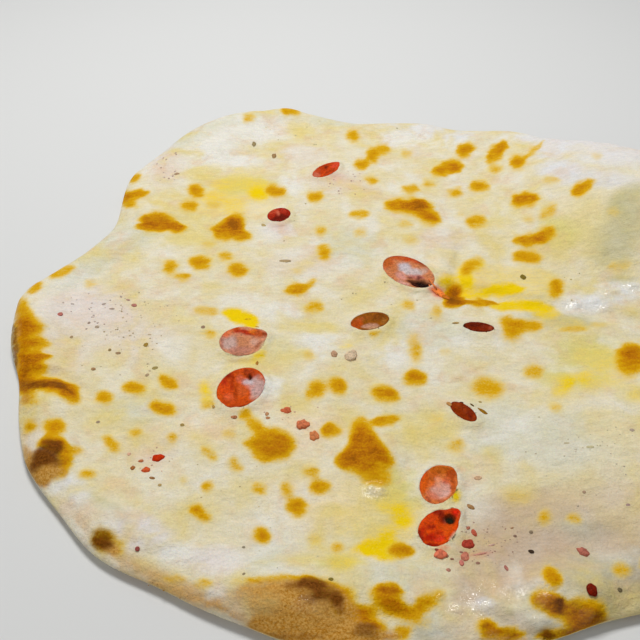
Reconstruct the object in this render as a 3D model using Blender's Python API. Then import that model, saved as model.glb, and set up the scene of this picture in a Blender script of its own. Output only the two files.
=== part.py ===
"""A kashmiri naan: one hand-stretched flat bread with slices of candied cherry baked into its top.

Run it with blender --background --python part.py, or from Blender's text editor.
Metres, +Z up. The origin is on the table under the middle of the bread, and +Y points to its far side.
Directions are in degrees, anticlockwise from +X as seen from above.
"""

import math

import bmesh
import bpy
from mathutils import Matrix, Vector, noise

# The dough: a disc pulled out by hand
BREAD_RADIUS = 0.158
CRUMB = 0.0050  # how thick it is where it lies flat
RIM_PUFF = 0.0012  # how much it swells just inside its rim
RIM_PUFF_INSET = 0.011
EDGE_BAND = 0.0070  # the strip along the rim in which the edge rounds over
EDGE_HEIGHT = 0.45  # where the rim's edge lies between the two faces
WAVE_HEIGHT = 0.0005  # low unevenness of the whole top
WAVE_LENGTH = 0.030

# Where the hands pulled or pushed the rim: direction, half spread, how far it reaches out
STRETCHES = (
    (64, 56, -0.0190),  # the flattened back
    (71, 11, -0.0060),  # two shallow bays in it
    (98, 12, -0.0055),
    (121, 27, 0.0145),  # the lobe at the back left
    (165, 20, -0.0200),  # the waist below the lobe
    (182, 13, 0.0030),  # the nose at the left
    (204, 12, -0.0045),  # the nick under the nose
    (218, 37, 0.0062),  # the full front left
    (253, 15, 0.0020),  # the puffed rim in front
    (296, 36, -0.0030),  # the front
    (335, 30, 0.0030),  # the front right
)
RIPPLES = ((11, 0.7, 0.0006), (17, 2.1, 0.0005), (29, 4.0, 0.0003))  # count round the rim, phase, height

# Where the whole sheet of dough stands off the table: x, y, half length, half width, turn, height
ARCHES = (
    (0.124, 0.050, 0.090, 0.074, 165, 0.0205),  # the fold at the back right
    (0.076, 0.110, 0.080, 0.060, 150, 0.0070),  # its shoulder along the back
    (0.090, -0.085, 0.085, 0.052, 10, 0.0060),  # the low swell in front of it
    (-0.084, 0.150, 0.055, 0.035, 25, 0.0030),  # the lobe, a little curled up
    (-0.165, -0.020, 0.035, 0.030, 0, 0.0020),  # the nose, curled up
)

# Blisters of the top face, where gas lifted the skin: x, y, half length, half width, turn, height
BLISTERS = (
    (-0.147, -0.028, 0.024, 0.013, 100, 0.0016),  # gold, along the left rim
    (-0.130, -0.071, 0.018, 0.013, 150, 0.0022),  # pale, under the crease
    (-0.126, -0.092, 0.016, 0.013, 70, 0.0032),  # scorched
    (-0.101, -0.118, 0.011, 0.009, 130, 0.0022),  # small and scorched
    (-0.086, -0.112, 0.022, 0.014, 140, 0.0012),  # pale, front left
    (-0.044, -0.139, 0.034, 0.015, 5, 0.0042),  # the browned front rim
    (-0.012, -0.138, 0.020, 0.012, 0, 0.0018),
    (0.029, -0.138, 0.012, 0.010, 0, 0.0026),
    (0.041, -0.141, 0.011, 0.010, 0, 0.0024),
    (-0.019, -0.090, 0.018, 0.015, 60, 0.0018),  # the big brown one in front
    (-0.052, -0.083, 0.013, 0.012, 0, 0.0010),
    (0.009, 0.061, 0.017, 0.012, -25, 0.0012),
    (-0.113, 0.051, 0.017, 0.011, 0, 0.0022),
    (-0.079, 0.046, 0.013, 0.012, 0, 0.0016),
    (-0.088, 0.120, 0.030, 0.022, 30, 0.0028),  # pale, on the lobe
    (-0.056, 0.150, 0.014, 0.012, 0, 0.0018),
)

# Creases pressed into the top face: start, end, half width, depth
CREASES = (
    ((0.020, -0.005), (0.125, -0.036), 0.0070, 0.0016),  # below the fold
    ((0.020, -0.005), (0.027, 0.022), 0.0050, 0.0012),  # up from the pinch
    ((-0.155, -0.056), (-0.134, -0.055), 0.0050, 0.0014),  # the crease in the left rim
    ((-0.134, -0.055), (-0.118, -0.066), 0.0045, 0.0012),
)
PINCH = (0.020, -0.005)  # where the dough was nipped together
PINCH_RADIUS = 0.0080
PINCH_DEPTH = 0.0020

# The cherry slices: x, y, half length, half width, turn, corner's direction, corner's reach
SLICES = (
    (-0.0660, -0.0384, 0.0084, 0.0077, 0, 30, 0.22),
    (-0.0644, -0.0627, 0.0101, 0.0079, 66, 0, 0.0),
    (0.0018, -0.1045, 0.0077, 0.0055, 64, 40, 0.10),
    (-0.0002, -0.1205, 0.0070, 0.0050, 45, 40, 0.32),
    (0.0016, 0.0042, 0.0125, 0.0083, -48, 0, 0.0),
    (-0.0552, 0.0469, 0.0057, 0.0048, 54, 0, 0.0),
    (-0.0328, 0.0876, 0.0090, 0.0042, 48, 50, 0.08),
    (-0.0163, -0.0272, 0.0077, 0.0047, 20, 0, 0.0),
    (0.0261, -0.0307, 0.0058, 0.0026, -8, 0, 0.0),
    (0.0140, -0.0741, 0.0053, 0.0028, -50, 0, 0.0),
)
SLICE_THICKNESS = 0.0036
SLICE_PROUD = 0.0003  # how far a slice stands out of the dough
SLICE_EDGE = 0.0009  # the softened edge of its cut face
SLICE_SIDES = 22
CORNER_SPREAD = 34
POCKET_GAP = 0.0003
POCKET_REACH = 0.006  # how far a pocket's cutter stands out of the dough
SLICE_MOUND = 0.0014  # the dough's rise round a slice
SLICE_MOUND_REACH = 0.008

# Crumbs of cherry in the skin: x, y, half length, turn
CRUMBS = (
    (-0.0896, -0.0931, 0.0019, 15),
    (-0.0927, -0.0982, 0.0015, 10),
    (-0.0479, -0.0727, 0.0020, 10),
    (-0.0422, -0.0790, 0.0025, 30),
    (-0.0380, -0.0837, 0.0022, 110),
    (-0.0243, -0.0454, 0.0029, 80),
    (-0.0307, -0.0442, 0.0016, 90),
    (0.0082, -0.1256, 0.0020, 20),
    (-0.0005, -0.1290, 0.0019, 0),
    (0.0067, -0.1296, 0.0016, 60),
    (0.0419, -0.1280, 0.0019, 140),
    (0.0401, -0.1416, 0.0018, 100),
)
CRUMB_WIDTH = 0.7  # of its length
CRUMB_HEIGHT = 0.45

RINGS = 14  # of the coarse mesh, from the middle to the rim
EDGE_RINGS = 2  # of those, in the edge band
EDGE_CROWDING = 1.35  # how much closer together the rings get at the rim
GRID_TOLERANCE = 0.001  # in the square grid from -1 to 1 that the sheet starts from
SLOPE_STEP = 0.006  # the dough's slope is read between points this far to each side
WELD = 0.00004  # vertices nearer to each other than this are one

UP = Vector((0, 0, 1))


def swell(distance):
    """1 in the middle, falling smoothly to 0 at a distance of 1 and beyond."""
    return (1 - distance * distance) ** 2 if abs(distance) < 1 else 0.0


def degrees_apart(first, second):
    return (first - second + 180) % 360 - 180


def rim_reach(direction):
    """How far the rim lies from the middle in a direction."""
    turn = math.radians(direction)
    reach = BREAD_RADIUS
    for centre, spread, pull in STRETCHES:
        reach += pull * swell(degrees_apart(direction, centre) / spread)
    for count, phase, height in RIPPLES:
        reach += height * math.sin(count * turn + phase)
    return reach


def oval_distance(x, y, oval):
    """How far a point is from the middle of an oval, as a share of the oval's own reach."""
    centre_x, centre_y, half_length, half_width, turn = oval
    turn = math.radians(turn)
    along = (x - centre_x) * math.cos(turn) + (y - centre_y) * math.sin(turn)
    across = (y - centre_y) * math.cos(turn) - (x - centre_x) * math.sin(turn)
    return math.hypot(along / half_length, across / half_width)


def line_distance(x, y, start, end):
    point, start, end = Vector((x, y)), Vector(start), Vector(end)
    share = (point - start).dot(end - start) / (end - start).length_squared
    return (point - start.lerp(end, min(1.0, max(0.0, share)))).length


def underside(x, y):
    """Height of the bread's lower face: on the table, or arched off it."""
    return sum(height * swell(oval_distance(x, y, oval)) for *oval, height in ARCHES)


def dough_thickness(x, y, inset):
    thick = CRUMB + RIM_PUFF * swell((inset - RIM_PUFF_INSET) / RIM_PUFF_INSET)
    thick += WAVE_HEIGHT * noise.noise(Vector((x, y, 0)) / WAVE_LENGTH)
    for *oval, height in BLISTERS:
        thick += height * swell(oval_distance(x, y, oval))
    for slice_x, slice_y, half_length, half_width, turn, _, _ in SLICES:
        reach = SLICE_MOUND_REACH
        mound = (slice_x, slice_y, half_length + reach, half_width + reach, turn)
        thick += SLICE_MOUND * swell(oval_distance(x, y, mound))
    for start, end, half_width, depth in CREASES:
        thick -= depth * swell(line_distance(x, y, start, end) / half_width)
    pinch = math.hypot(x - PINCH[0], y - PINCH[1]) / PINCH_RADIUS
    return thick - PINCH_DEPTH * swell(pinch)


def top_height(x, y):
    direction = math.degrees(math.atan2(y, x))
    inset = rim_reach(direction) - math.hypot(x, y)
    return underside(x, y) + dough_thickness(x, y, inset)


def lie_on_top(x, y):
    """Placement of a piece that lies flat on the dough at a point, tilted as the dough is."""
    rise_x = top_height(x + SLOPE_STEP, y) - top_height(x - SLOPE_STEP, y)
    rise_y = top_height(x, y + SLOPE_STEP) - top_height(x, y - SLOPE_STEP)
    normal = Vector((-rise_x, -rise_y, 2 * SLOPE_STEP)).normalized()
    tilt = UP.rotation_difference(normal).to_matrix().to_4x4()
    return Matrix.Translation((x, y, top_height(x, y))) @ tilt


def disc_place(u, v):
    """Direction and inset from the rim of a point of the square from -1 to 1 that the disc is made from."""
    ring = max(abs(u), abs(v))
    if ring == 0:
        return 0.0, rim_reach(0.0)
    if abs(u) >= abs(v):
        direction = 45 * v / u + (180 if u < 0 else 0)
    else:
        direction = 90 - 45 * u / v + (180 if v < 0 else 0)
    from_rim = 1 - ring
    edge_share = EDGE_RINGS / RINGS
    if from_rim < edge_share:
        return direction, EDGE_BAND * (from_rim / edge_share) ** EDGE_CROWDING
    inner = (from_rim - edge_share) / (1 - edge_share)
    return direction, EDGE_BAND + (rim_reach(direction) - EDGE_BAND) * inner


def make_object(name, mesh_source, material, collection):
    mesh = bpy.data.meshes.new(name)
    mesh_source.to_mesh(mesh)
    mesh_source.free()
    made = bpy.data.objects.new(name, mesh)
    collection.objects.link(made)
    if material:
        mesh.materials.append(material)
        mesh.shade_smooth()
    return made


def make_material(name, colour, roughness):
    material = bpy.data.materials.new(name)
    material.use_nodes = True
    shader = material.node_tree.nodes["Principled BSDF"]
    shader.inputs["Base Color"].default_value = (*colour, 1)
    shader.inputs["Roughness"].default_value = roughness
    shader.inputs["Metallic"].default_value = 0.0
    return material


def on_grid_edge(vertex):
    return max(abs(vertex.co.x), abs(vertex.co.y)) > 1 - GRID_TOLERANCE


def make_bread(material, collection):
    """One closed sheet of dough: a square grid bent round to a disc, doubled, and joined at the rim."""
    sheet = bmesh.new()
    bmesh.ops.create_grid(sheet, x_segments=2 * RINGS, y_segments=2 * RINGS, size=1)
    lower = bmesh.ops.duplicate(sheet, geom=sheet.verts[:] + sheet.edges[:] + sheet.faces[:])["geom"]
    lower_faces = [piece for piece in lower if isinstance(piece, bmesh.types.BMFace)]
    upper_faces = [face for face in sheet.faces if face not in set(lower_faces)]
    bmesh.ops.reverse_faces(sheet, faces=lower_faces)

    # Until the sheet is shaped, z says which face a vertex is on: 1 upper, -1 lower, 0 on the rim
    for faces, side in ((upper_faces, 1), (lower_faces, -1)):
        for vertex in {corner for face in faces for corner in face.verts}:
            vertex.co.z = 0 if on_grid_edge(vertex) else side
    bmesh.ops.remove_doubles(sheet, verts=sheet.verts[:], dist=GRID_TOLERANCE)
    upper_edges = {edge for face in sheet.faces if face.calc_center_median().z > 0 for edge in face.edges}
    bmesh.ops.subdivide_edges(sheet, edges=list(upper_edges), cuts=1, use_grid_fill=True)

    for vertex in sheet.verts:
        direction, inset = disc_place(vertex.co.x, vertex.co.y)
        radius = rim_reach(direction) - inset
        x = radius * math.cos(math.radians(direction))
        y = radius * math.sin(math.radians(direction))
        low = underside(x, y)
        high = low + dough_thickness(x, y, inset)
        edge = low + CRUMB * EDGE_HEIGHT
        from_edge = 1 - min(1.0, inset / EDGE_BAND)
        roundness = math.sqrt(1 - from_edge * from_edge)
        if vertex.co.z > 0:
            z = edge + (high - edge) * roundness
        else:
            z = edge + (low - edge) * roundness
        vertex.co = (x, y, z)
    bmesh.ops.triangulate(sheet, faces=sheet.faces[:], quad_method="SHORT_EDGE", ngon_method="BEAUTY")
    return make_object("naan_bread", sheet, material, collection)


def slice_outline(sheet, half_length, half_width, corner, corner_reach, height):
    """A flat disc of cherry, pulled out to a soft corner on one side, as tall as height."""
    made = bmesh.ops.create_circle(sheet, cap_ends=True, segments=SLICE_SIDES, radius=1)
    for vertex in made["verts"]:
        direction = math.degrees(math.atan2(vertex.co.y, vertex.co.x))
        reach = 1 + corner_reach * swell(degrees_apart(direction, corner) / CORNER_SPREAD)
        vertex.co = Vector((vertex.co.x * half_length, vertex.co.y * half_width, 0)) * reach
    raised = bmesh.ops.extrude_face_region(sheet, geom=sheet.faces[:])["geom"]
    top = [piece for piece in raised if isinstance(piece, bmesh.types.BMVert)]
    bmesh.ops.translate(sheet, verts=top, vec=UP * height)
    bmesh.ops.recalc_face_normals(sheet, faces=sheet.faces[:])
    return top


def slice_placement(x, y, turn):
    """Placement of a slice's underside, sunk into the dough."""
    sunk = Matrix.Translation((0, 0, SLICE_PROUD - SLICE_THICKNESS))
    return lie_on_top(x, y) @ sunk @ Matrix.Rotation(math.radians(turn), 4, "Z")


def make_slice(number, slice_size, material, collection):
    x, y, half_length, half_width, turn, corner, corner_reach = slice_size
    sheet = bmesh.new()
    top = slice_outline(sheet, half_length, half_width, corner - turn, corner_reach, SLICE_THICKNESS)
    rim = [edge for edge in sheet.edges if edge.verts[0] in top and edge.verts[1] in top]
    bmesh.ops.bevel(sheet, geom=rim, offset=SLICE_EDGE, segments=2, profile=0.5, affect="EDGES", material=-1)
    made = make_object(f"cherry_slice_{number:02d}", sheet, material, collection)
    made.matrix_world = slice_placement(x, y, turn)
    return made


def make_pocket(number, slice_size, collection):
    """The cutter of a slice's pocket: the slice grown by the gap, and open upwards."""
    x, y, half_length, half_width, turn, corner, corner_reach = slice_size
    grown_length, grown_width = half_length + POCKET_GAP, half_width + POCKET_GAP
    sheet = bmesh.new()
    depth = SLICE_THICKNESS + POCKET_GAP + POCKET_REACH
    slice_outline(sheet, grown_length, grown_width, corner - turn, corner_reach, depth)
    made = make_object(f"pocket_{number:02d}", sheet, None, collection)
    made.matrix_world = slice_placement(x, y, turn) @ Matrix.Translation((0, 0, -POCKET_GAP))
    return made


def make_crumb(number, crumb_size, collection):
    """A crumb of cherry, half sunk in the skin."""
    x, y, half_length, turn = crumb_size
    sheet = bmesh.new()
    bmesh.ops.create_icosphere(sheet, subdivisions=1, radius=1)
    made = make_object(f"crumb_{number:02d}", sheet, None, collection)
    size = Matrix.Diagonal((half_length, half_length * CRUMB_WIDTH, half_length * CRUMB_HEIGHT, 1))
    made.matrix_world = lie_on_top(x, y) @ Matrix.Rotation(math.radians(turn), 4, "Z") @ size
    return made


def apply_boolean(target, operation, collection):
    """Joins or cuts with every object of a collection, applies it, and removes the collection's objects."""
    modifier = target.modifiers.new(operation.lower(), "BOOLEAN")
    modifier.operation = operation
    modifier.solver = "EXACT"
    modifier.operand_type = "COLLECTION"
    modifier.collection = collection
    bpy.context.view_layer.update()
    graph = bpy.context.evaluated_depsgraph_get()
    result = bpy.data.meshes.new_from_object(target.evaluated_get(graph))
    target.modifiers.remove(modifier)
    cleaned = bmesh.new()
    cleaned.from_mesh(result)
    bmesh.ops.remove_doubles(cleaned, verts=cleaned.verts[:], dist=WELD)
    bmesh.ops.dissolve_degenerate(cleaned, edges=cleaned.edges[:], dist=WELD)
    bmesh.ops.triangulate(cleaned, faces=cleaned.faces[:])
    cleaned.to_mesh(result)
    cleaned.free()
    target.data = result
    for helper in collection.objects[:]:
        bpy.data.objects.remove(helper)


def new_collection(name, parent):
    collection = bpy.data.collections.new(name)
    parent.children.link(collection)
    return collection


def main():
    for old in bpy.data.objects[:]:
        bpy.data.objects.remove(old)
    scene_root = bpy.context.scene.collection
    parts = new_collection("kashmiri_naan", scene_root)
    pockets = new_collection("pockets", scene_root)
    crumbs = new_collection("cherry_crumbs", scene_root)
    dough = make_material("baked_dough", (0.69, 0.60, 0.37), 0.55)
    cherry = make_material("candied_cherry", (0.45, 0.06, 0.02), 0.25)

    bread = make_bread(dough, parts)
    for number, slice_size in enumerate(SLICES, 1):
        make_slice(number, slice_size, cherry, parts)
        make_pocket(number, slice_size, pockets)
    apply_boolean(bread, "DIFFERENCE", pockets)
    for number, crumb_size in enumerate(CRUMBS, 1):
        make_crumb(number, crumb_size, crumbs)
    apply_boolean(bread, "UNION", crumbs)


main()
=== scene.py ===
"""The looks of a kashmiri naan: a hand-stretched oven-baked bread with slices of candied cherry in its top.

Metres, +Z up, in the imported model's frame. Directions are in degrees, anticlockwise from +X.
The bread's marks are ovals placed where a camera sees them, in pixels of a 640 by 640 picture: px and py,
counted from its upper left corner, width, height and, where it isn't 0, the turn, anticlockwise as it is
seen. Marks beyond 640 lie on the part of the bread that the picture leaves out.
"""

import math
import random

import bmesh
import bpy
import numpy as np
from mathutils import Matrix, Vector, noise


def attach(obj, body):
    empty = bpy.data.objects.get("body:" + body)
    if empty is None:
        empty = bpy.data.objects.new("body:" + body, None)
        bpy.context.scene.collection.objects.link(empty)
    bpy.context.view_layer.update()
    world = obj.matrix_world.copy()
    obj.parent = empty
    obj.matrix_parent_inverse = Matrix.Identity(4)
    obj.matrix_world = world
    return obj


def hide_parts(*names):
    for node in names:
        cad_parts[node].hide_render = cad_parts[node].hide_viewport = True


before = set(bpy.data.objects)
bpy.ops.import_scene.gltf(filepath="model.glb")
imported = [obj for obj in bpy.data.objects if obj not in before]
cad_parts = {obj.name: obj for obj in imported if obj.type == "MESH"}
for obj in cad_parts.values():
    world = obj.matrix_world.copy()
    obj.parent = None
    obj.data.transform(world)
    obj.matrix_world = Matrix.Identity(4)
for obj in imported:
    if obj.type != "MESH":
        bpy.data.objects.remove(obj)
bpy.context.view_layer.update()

# The view: one camera over the near edge of the table, looking down at the bread.
# A point of the bread is at the pixel that this camera sees it at.
PICTURE_SIDE = 640  # pixels
FOCAL_PIXELS = 750
FILM_WIDTH = 36  # millimetres
CAMERA_PLACE = (-0.036, -0.247, 0.205)
CAMERA_TURN = math.radians(48)  # away from straight down
NEAREST_SEEN = 0.01


def add_object(name, data):
    """Adds an object for a mesh, a camera or a lamp, at the origin."""
    added = bpy.data.objects.new(name, data)
    bpy.context.scene.collection.objects.link(added)
    return added


camera = add_object("camera", bpy.data.cameras.new("camera"))
camera.data.sensor_width = FILM_WIDTH
camera.data.lens = FILM_WIDTH * FOCAL_PIXELS / PICTURE_SIDE
camera.data.clip_start = NEAREST_SEEN
camera.location = CAMERA_PLACE
camera.rotation_euler = (CAMERA_TURN, 0, 0)
bpy.context.scene.camera = camera


def seen_at(points):
    """Pixels across and down the picture at which the camera sees an array of points."""
    away = points - np.array(CAMERA_PLACE)
    up = away[:, 1] * math.cos(CAMERA_TURN) + away[:, 2] * math.sin(CAMERA_TURN)
    depth = away[:, 1] * math.sin(CAMERA_TURN) - away[:, 2] * math.cos(CAMERA_TURN)
    middle = PICTURE_SIDE / 2
    return middle + FOCAL_PIXELS * away[:, 0] / depth, middle - FOCAL_PIXELS * up / depth


# The dough: a sheet of leavened wheat dough, about 5 mm thick, pulled out by hand and baked stuck to an
# oven's wall. Its rim swells a little, its skin lifts in blisters, and its back right edge is folded up.
BREAD_RADIUS = 0.158
CRUMB = 0.0050  # how thick it is where it lies flat
RIM_PUFF = 0.0012  # how much it swells just inside its rim
RIM_PUFF_INSET = 0.011
EDGE_BAND = 0.0070  # the strip along the rim in which the edge rounds over
EDGE_HEIGHT = 0.45  # where the rim's edge lies between the two faces
WAVE_HEIGHT = 0.0005  # low unevenness of the whole top
WAVE_LENGTH = 0.030

# Where the hands pulled or pushed the rim: direction, half spread, how far it reaches out
STRETCHES = (
    (64, 56, -0.0190),  # the flattened back
    (71, 11, -0.0060),  # two shallow bays in it
    (98, 12, -0.0055),
    (121, 27, 0.0145),  # the lobe at the back left
    (165, 20, -0.0200),  # the waist below the lobe
    (182, 13, 0.0030),  # the nose at the left
    (204, 12, -0.0045),  # the nick under the nose
    (218, 37, 0.0062),  # the full front left
    (253, 15, 0.0020),  # the puffed rim in front
    (296, 36, -0.0030),  # the front
    (335, 30, 0.0030),  # the front right
)
RIPPLES = ((11, 0.7, 0.0006), (17, 2.1, 0.0005), (29, 4.0, 0.0003))  # count round the rim, phase, height

# Where the whole sheet of dough stands off the table: x, y, half length, half width, turn, height
ARCHES = (
    (0.124, 0.050, 0.090, 0.074, 165, 0.0205),  # the fold at the back right
    (0.076, 0.110, 0.080, 0.060, 150, 0.0070),  # its shoulder along the back
    (0.090, -0.085, 0.085, 0.052, 10, 0.0060),  # the low swell in front of it
    (-0.084, 0.150, 0.055, 0.035, 25, 0.0030),  # the lobe, a little curled up
    (-0.165, -0.020, 0.035, 0.030, 0, 0.0020),  # the nose, curled up
)

# Blisters of the top face, where gas lifted the skin: x, y, half length, half width, turn, height
BLISTERS = (
    (-0.147, -0.028, 0.024, 0.013, 100, 0.0016),  # gold, along the left rim
    (-0.130, -0.071, 0.018, 0.013, 150, 0.0022),  # pale, under the crease
    (-0.126, -0.092, 0.016, 0.013, 70, 0.0032),  # scorched
    (-0.101, -0.118, 0.011, 0.009, 130, 0.0022),  # small and scorched
    (-0.086, -0.112, 0.022, 0.014, 140, 0.0012),  # pale, front left
    (-0.044, -0.139, 0.034, 0.015, 5, 0.0042),  # the browned front rim
    (-0.012, -0.138, 0.020, 0.012, 0, 0.0018),
    (0.029, -0.138, 0.012, 0.010, 0, 0.0026),
    (0.041, -0.141, 0.011, 0.010, 0, 0.0024),
    (-0.019, -0.090, 0.018, 0.015, 60, 0.0018),  # the big brown one in front
    (-0.052, -0.083, 0.013, 0.012, 0, 0.0010),
    (0.009, 0.061, 0.017, 0.012, -25, 0.0012),
    (-0.113, 0.051, 0.017, 0.011, 0, 0.0022),
    (-0.079, 0.046, 0.013, 0.012, 0, 0.0016),
    (-0.088, 0.120, 0.030, 0.022, 30, 0.0028),  # pale, on the lobe
    (-0.056, 0.150, 0.014, 0.012, 0, 0.0018),
)

# Creases pressed into the top face: start, end, half width, depth
CREASES = (
    ((0.020, -0.005), (0.125, -0.036), 0.0070, 0.0016),  # below the fold
    ((0.020, -0.005), (0.027, 0.022), 0.0050, 0.0012),  # up from the pinch
    ((-0.155, -0.056), (-0.134, -0.055), 0.0050, 0.0014),  # the crease in the left rim
    ((-0.134, -0.055), (-0.118, -0.066), 0.0045, 0.0012),
)
PINCH = (0.020, -0.005)  # where the dough was nipped together
PINCH_RADIUS = 0.0080
PINCH_DEPTH = 0.0020

# The pockets of the cherry slices: x, y, half length, half width, turn, corner's direction, corner's reach
SLICES = (
    (-0.0660, -0.0384, 0.0084, 0.0077, 0, 30, 0.22),
    (-0.0644, -0.0627, 0.0101, 0.0079, 66, 0, 0.0),
    (0.0018, -0.1045, 0.0077, 0.0055, 64, 40, 0.10),
    (-0.0002, -0.1205, 0.0070, 0.0050, 45, 40, 0.32),
    (0.0016, 0.0042, 0.0125, 0.0083, -48, 0, 0.0),
    (-0.0552, 0.0469, 0.0057, 0.0048, 54, 0, 0.0),
    (-0.0328, 0.0876, 0.0090, 0.0042, 48, 50, 0.08),
    (-0.0163, -0.0272, 0.0077, 0.0047, 20, 0, 0.0),
    (0.0261, -0.0307, 0.0058, 0.0026, -8, 0, 0.0),
    (0.0140, -0.0741, 0.0053, 0.0028, -50, 0, 0.0),
)
SLICE_THICKNESS = 0.0036
SLICE_PROUD = 0.0003  # how far a slice stands out of the dough
CORNER_SPREAD = 34
SLICE_MOUND = 0.0014  # the dough's rise round a slice
SLICE_MOUND_REACH = 0.008
SLOPE_STEP = 0.006  # the dough's slope is read between points this far to each side
POCKET_GAP = 0.0003
LIP_SNAP = 0.0004  # the mesh's points this close to a pocket's lip are drawn onto it
LIP_MERGE = 0.0002  # and those that come this close together there become one
CLIMB_REACH = 0.0036  # this close to a slice, the dough climbs to the slice's top face
LIP_SINK = 0.00012  # where its lip ends, under that face
LAP = 0.0003  # how far the dough laps over a slice's edge at most, here and there
LAP_LENGTH = 0.0034
LAP_CONTRAST = 2  # how sharply the stretches that lap begin
LAP_RISE = 0.00020  # how much higher the lip is there
RELIEF_FADE = 0.003  # the skin's low relief fades out this close to a slice

COARSE_RINGS = 33  # of the underside's mesh, from the middle to the rim
TOP_CUTS = 3  # the top's mesh has this many more lines between two of the underside's
EDGE_SHARE = 0.05  # of the way from the rim to the middle, for the edge band
EDGE_CROWDING = 2  # how much closer together the rings get at the rim
GRID_TOLERANCE = 0.001
FINE_REACH = 0.0035  # round a slice, the mesh is twice as fine this far out
MIDDLE_SHARE = 0.05  # no point is taken to be nearer a slice's middle than this share of its reach
CLOSEST = 1e-6  # nothing is divided by a smaller distance


def swell(distance):
    """1 in the middle, falling smoothly to 0 at a distance of 1 and beyond."""
    return np.clip(1 - distance * distance, 0, 1) ** 2


def ease(share):
    """From 0 to 1, with a soft start and end."""
    share = np.clip(share, 0, 1)
    return share * share * (3 - 2 * share)


def degrees_apart(first, second):
    return (first - second + 180) % 360 - 180


def rim_reach(direction):
    """How far the rim lies from the middle in a direction."""
    turn = np.radians(direction)
    reach = BREAD_RADIUS + 0 * turn
    for centre, spread, pull in STRETCHES:
        reach += pull * swell(degrees_apart(direction, centre) / spread)
    for count, phase, height in RIPPLES:
        reach += height * np.sin(count * turn + phase)
    return reach


def oval_distance(x, y, centre_x, centre_y, half_length, half_width, turn):
    """How far points are from the middle of an oval, as a share of the oval's own reach."""
    turn = math.radians(turn)
    along = (x - centre_x) * math.cos(turn) + (y - centre_y) * math.sin(turn)
    across = (y - centre_y) * math.cos(turn) - (x - centre_x) * math.sin(turn)
    return np.hypot(along / half_length, across / half_width)


def line_distance(x, y, start, end):
    run_x, run_y = end[0] - start[0], end[1] - start[1]
    share = ((x - start[0]) * run_x + (y - start[1]) * run_y) / (run_x * run_x + run_y * run_y)
    share = np.clip(share, 0, 1)
    return np.hypot(x - start[0] - share * run_x, y - start[1] - share * run_y)


def unevenness(x, y, length, stretch=1.0, layer=0.0):
    """Smooth noise of about -1 to 1 with bumps of a length, drawn out along x by stretch."""
    return np.array([noise.noise(Vector((a / stretch, b, 0)) / length + Vector((0, 0, layer)))
                     for a, b in zip(x, y)])


def underside(x, y):
    """Height of the bread's lower face: on the table, or arched off it."""
    return sum(height * swell(oval_distance(x, y, *oval)) for *oval, height in ARCHES)


def dough_thickness(x, y, inset):
    thick = CRUMB + RIM_PUFF * swell((inset - RIM_PUFF_INSET) / RIM_PUFF_INSET)
    thick += WAVE_HEIGHT * unevenness(x, y, WAVE_LENGTH)
    for *oval, height in BLISTERS:
        thick += height * swell(oval_distance(x, y, *oval))
    for slice_x, slice_y, half_length, half_width, turn, _, _ in SLICES:
        mound = half_length + SLICE_MOUND_REACH, half_width + SLICE_MOUND_REACH
        thick += SLICE_MOUND * swell(oval_distance(x, y, slice_x, slice_y, *mound, turn))
    for start, end, half_width, depth in CREASES:
        thick -= depth * swell(line_distance(x, y, start, end) / half_width)
    pinch = np.hypot(x - PINCH[0], y - PINCH[1]) / PINCH_RADIUS
    return thick - PINCH_DEPTH * swell(pinch)


def top_height(x, y):
    inset = rim_reach(np.degrees(np.arctan2(y, x))) - np.hypot(x, y)
    return underside(x, y) + dough_thickness(x, y, inset)


def lie_on_top(x, y):
    """Placement of a piece that lies flat on the dough at a point, tilted as the dough is."""
    step = SLOPE_STEP
    heights = top_height(x + step * np.array([0, 1, -1, 0, 0]), y + step * np.array([0, 0, 0, 1, -1]))
    here, right, left, back, front = (float(height) for height in heights)
    normal = Vector((left - right, front - back, 2 * step)).normalized()
    tilt = Vector((0, 0, 1)).rotation_difference(normal).to_matrix().to_4x4()
    return Matrix.Translation((x, y, here)) @ tilt


def slice_placement(x, y, turn):
    """Placement of a slice's underside, sunk into the dough."""
    sunk = Matrix.Translation((0, 0, SLICE_PROUD - SLICE_THICKNESS))
    return lie_on_top(x, y) @ sunk @ Matrix.Rotation(math.radians(turn), 4, "Z")


def moved(points, placement):
    """An array of points after a placement."""
    turned = np.array(placement.to_3x3())
    return points @ turned.T + np.array(placement.translation)


def slice_reach(direction, corner, corner_reach):
    """How far a slice's outline reaches in a direction, as a share of its oval's."""
    return 1 + corner_reach * swell(degrees_apart(direction, corner) / CORNER_SPREAD)


def disc_place(u, v):
    """Direction, and share of the way from the middle to the rim, for points of a square from -1 to 1."""
    ring = np.maximum(np.abs(u), np.abs(v))
    steep = np.abs(v) > np.abs(u)
    longer = np.where(steep, v, u)
    share = np.where(steep, u, v) / np.where(ring == 0, 1, longer)
    return np.where(steep, 90 - 45 * share, 45 * share) + np.where(longer < 0, 180, 0), ring


def disc_plan(u, v):
    """Where points of the square lie on the bread, seen from above, and how far inside its rim."""
    direction, ring = disc_place(u, v)
    reach = rim_reach(direction)
    edge = EDGE_BAND * (np.clip((1 - ring) / EDGE_SHARE, 0, 1)) ** EDGE_CROWDING
    inset = edge + (reach - EDGE_BAND) * np.clip((1 - ring - EDGE_SHARE) / (1 - EDGE_SHARE), 0, 1)
    radius = reach - inset
    return radius * np.cos(np.radians(direction)), radius * np.sin(np.radians(direction)), inset


def mesh_from(sheet, name):
    """Turns a bmesh into a mesh."""
    mesh = bpy.data.meshes.new(name)
    sheet.to_mesh(mesh)
    sheet.free()
    return mesh


def read_points(mesh):
    points = np.empty(len(mesh.vertices) * 3)
    mesh.vertices.foreach_get("co", points)
    return points.reshape(-1, 3)


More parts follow.
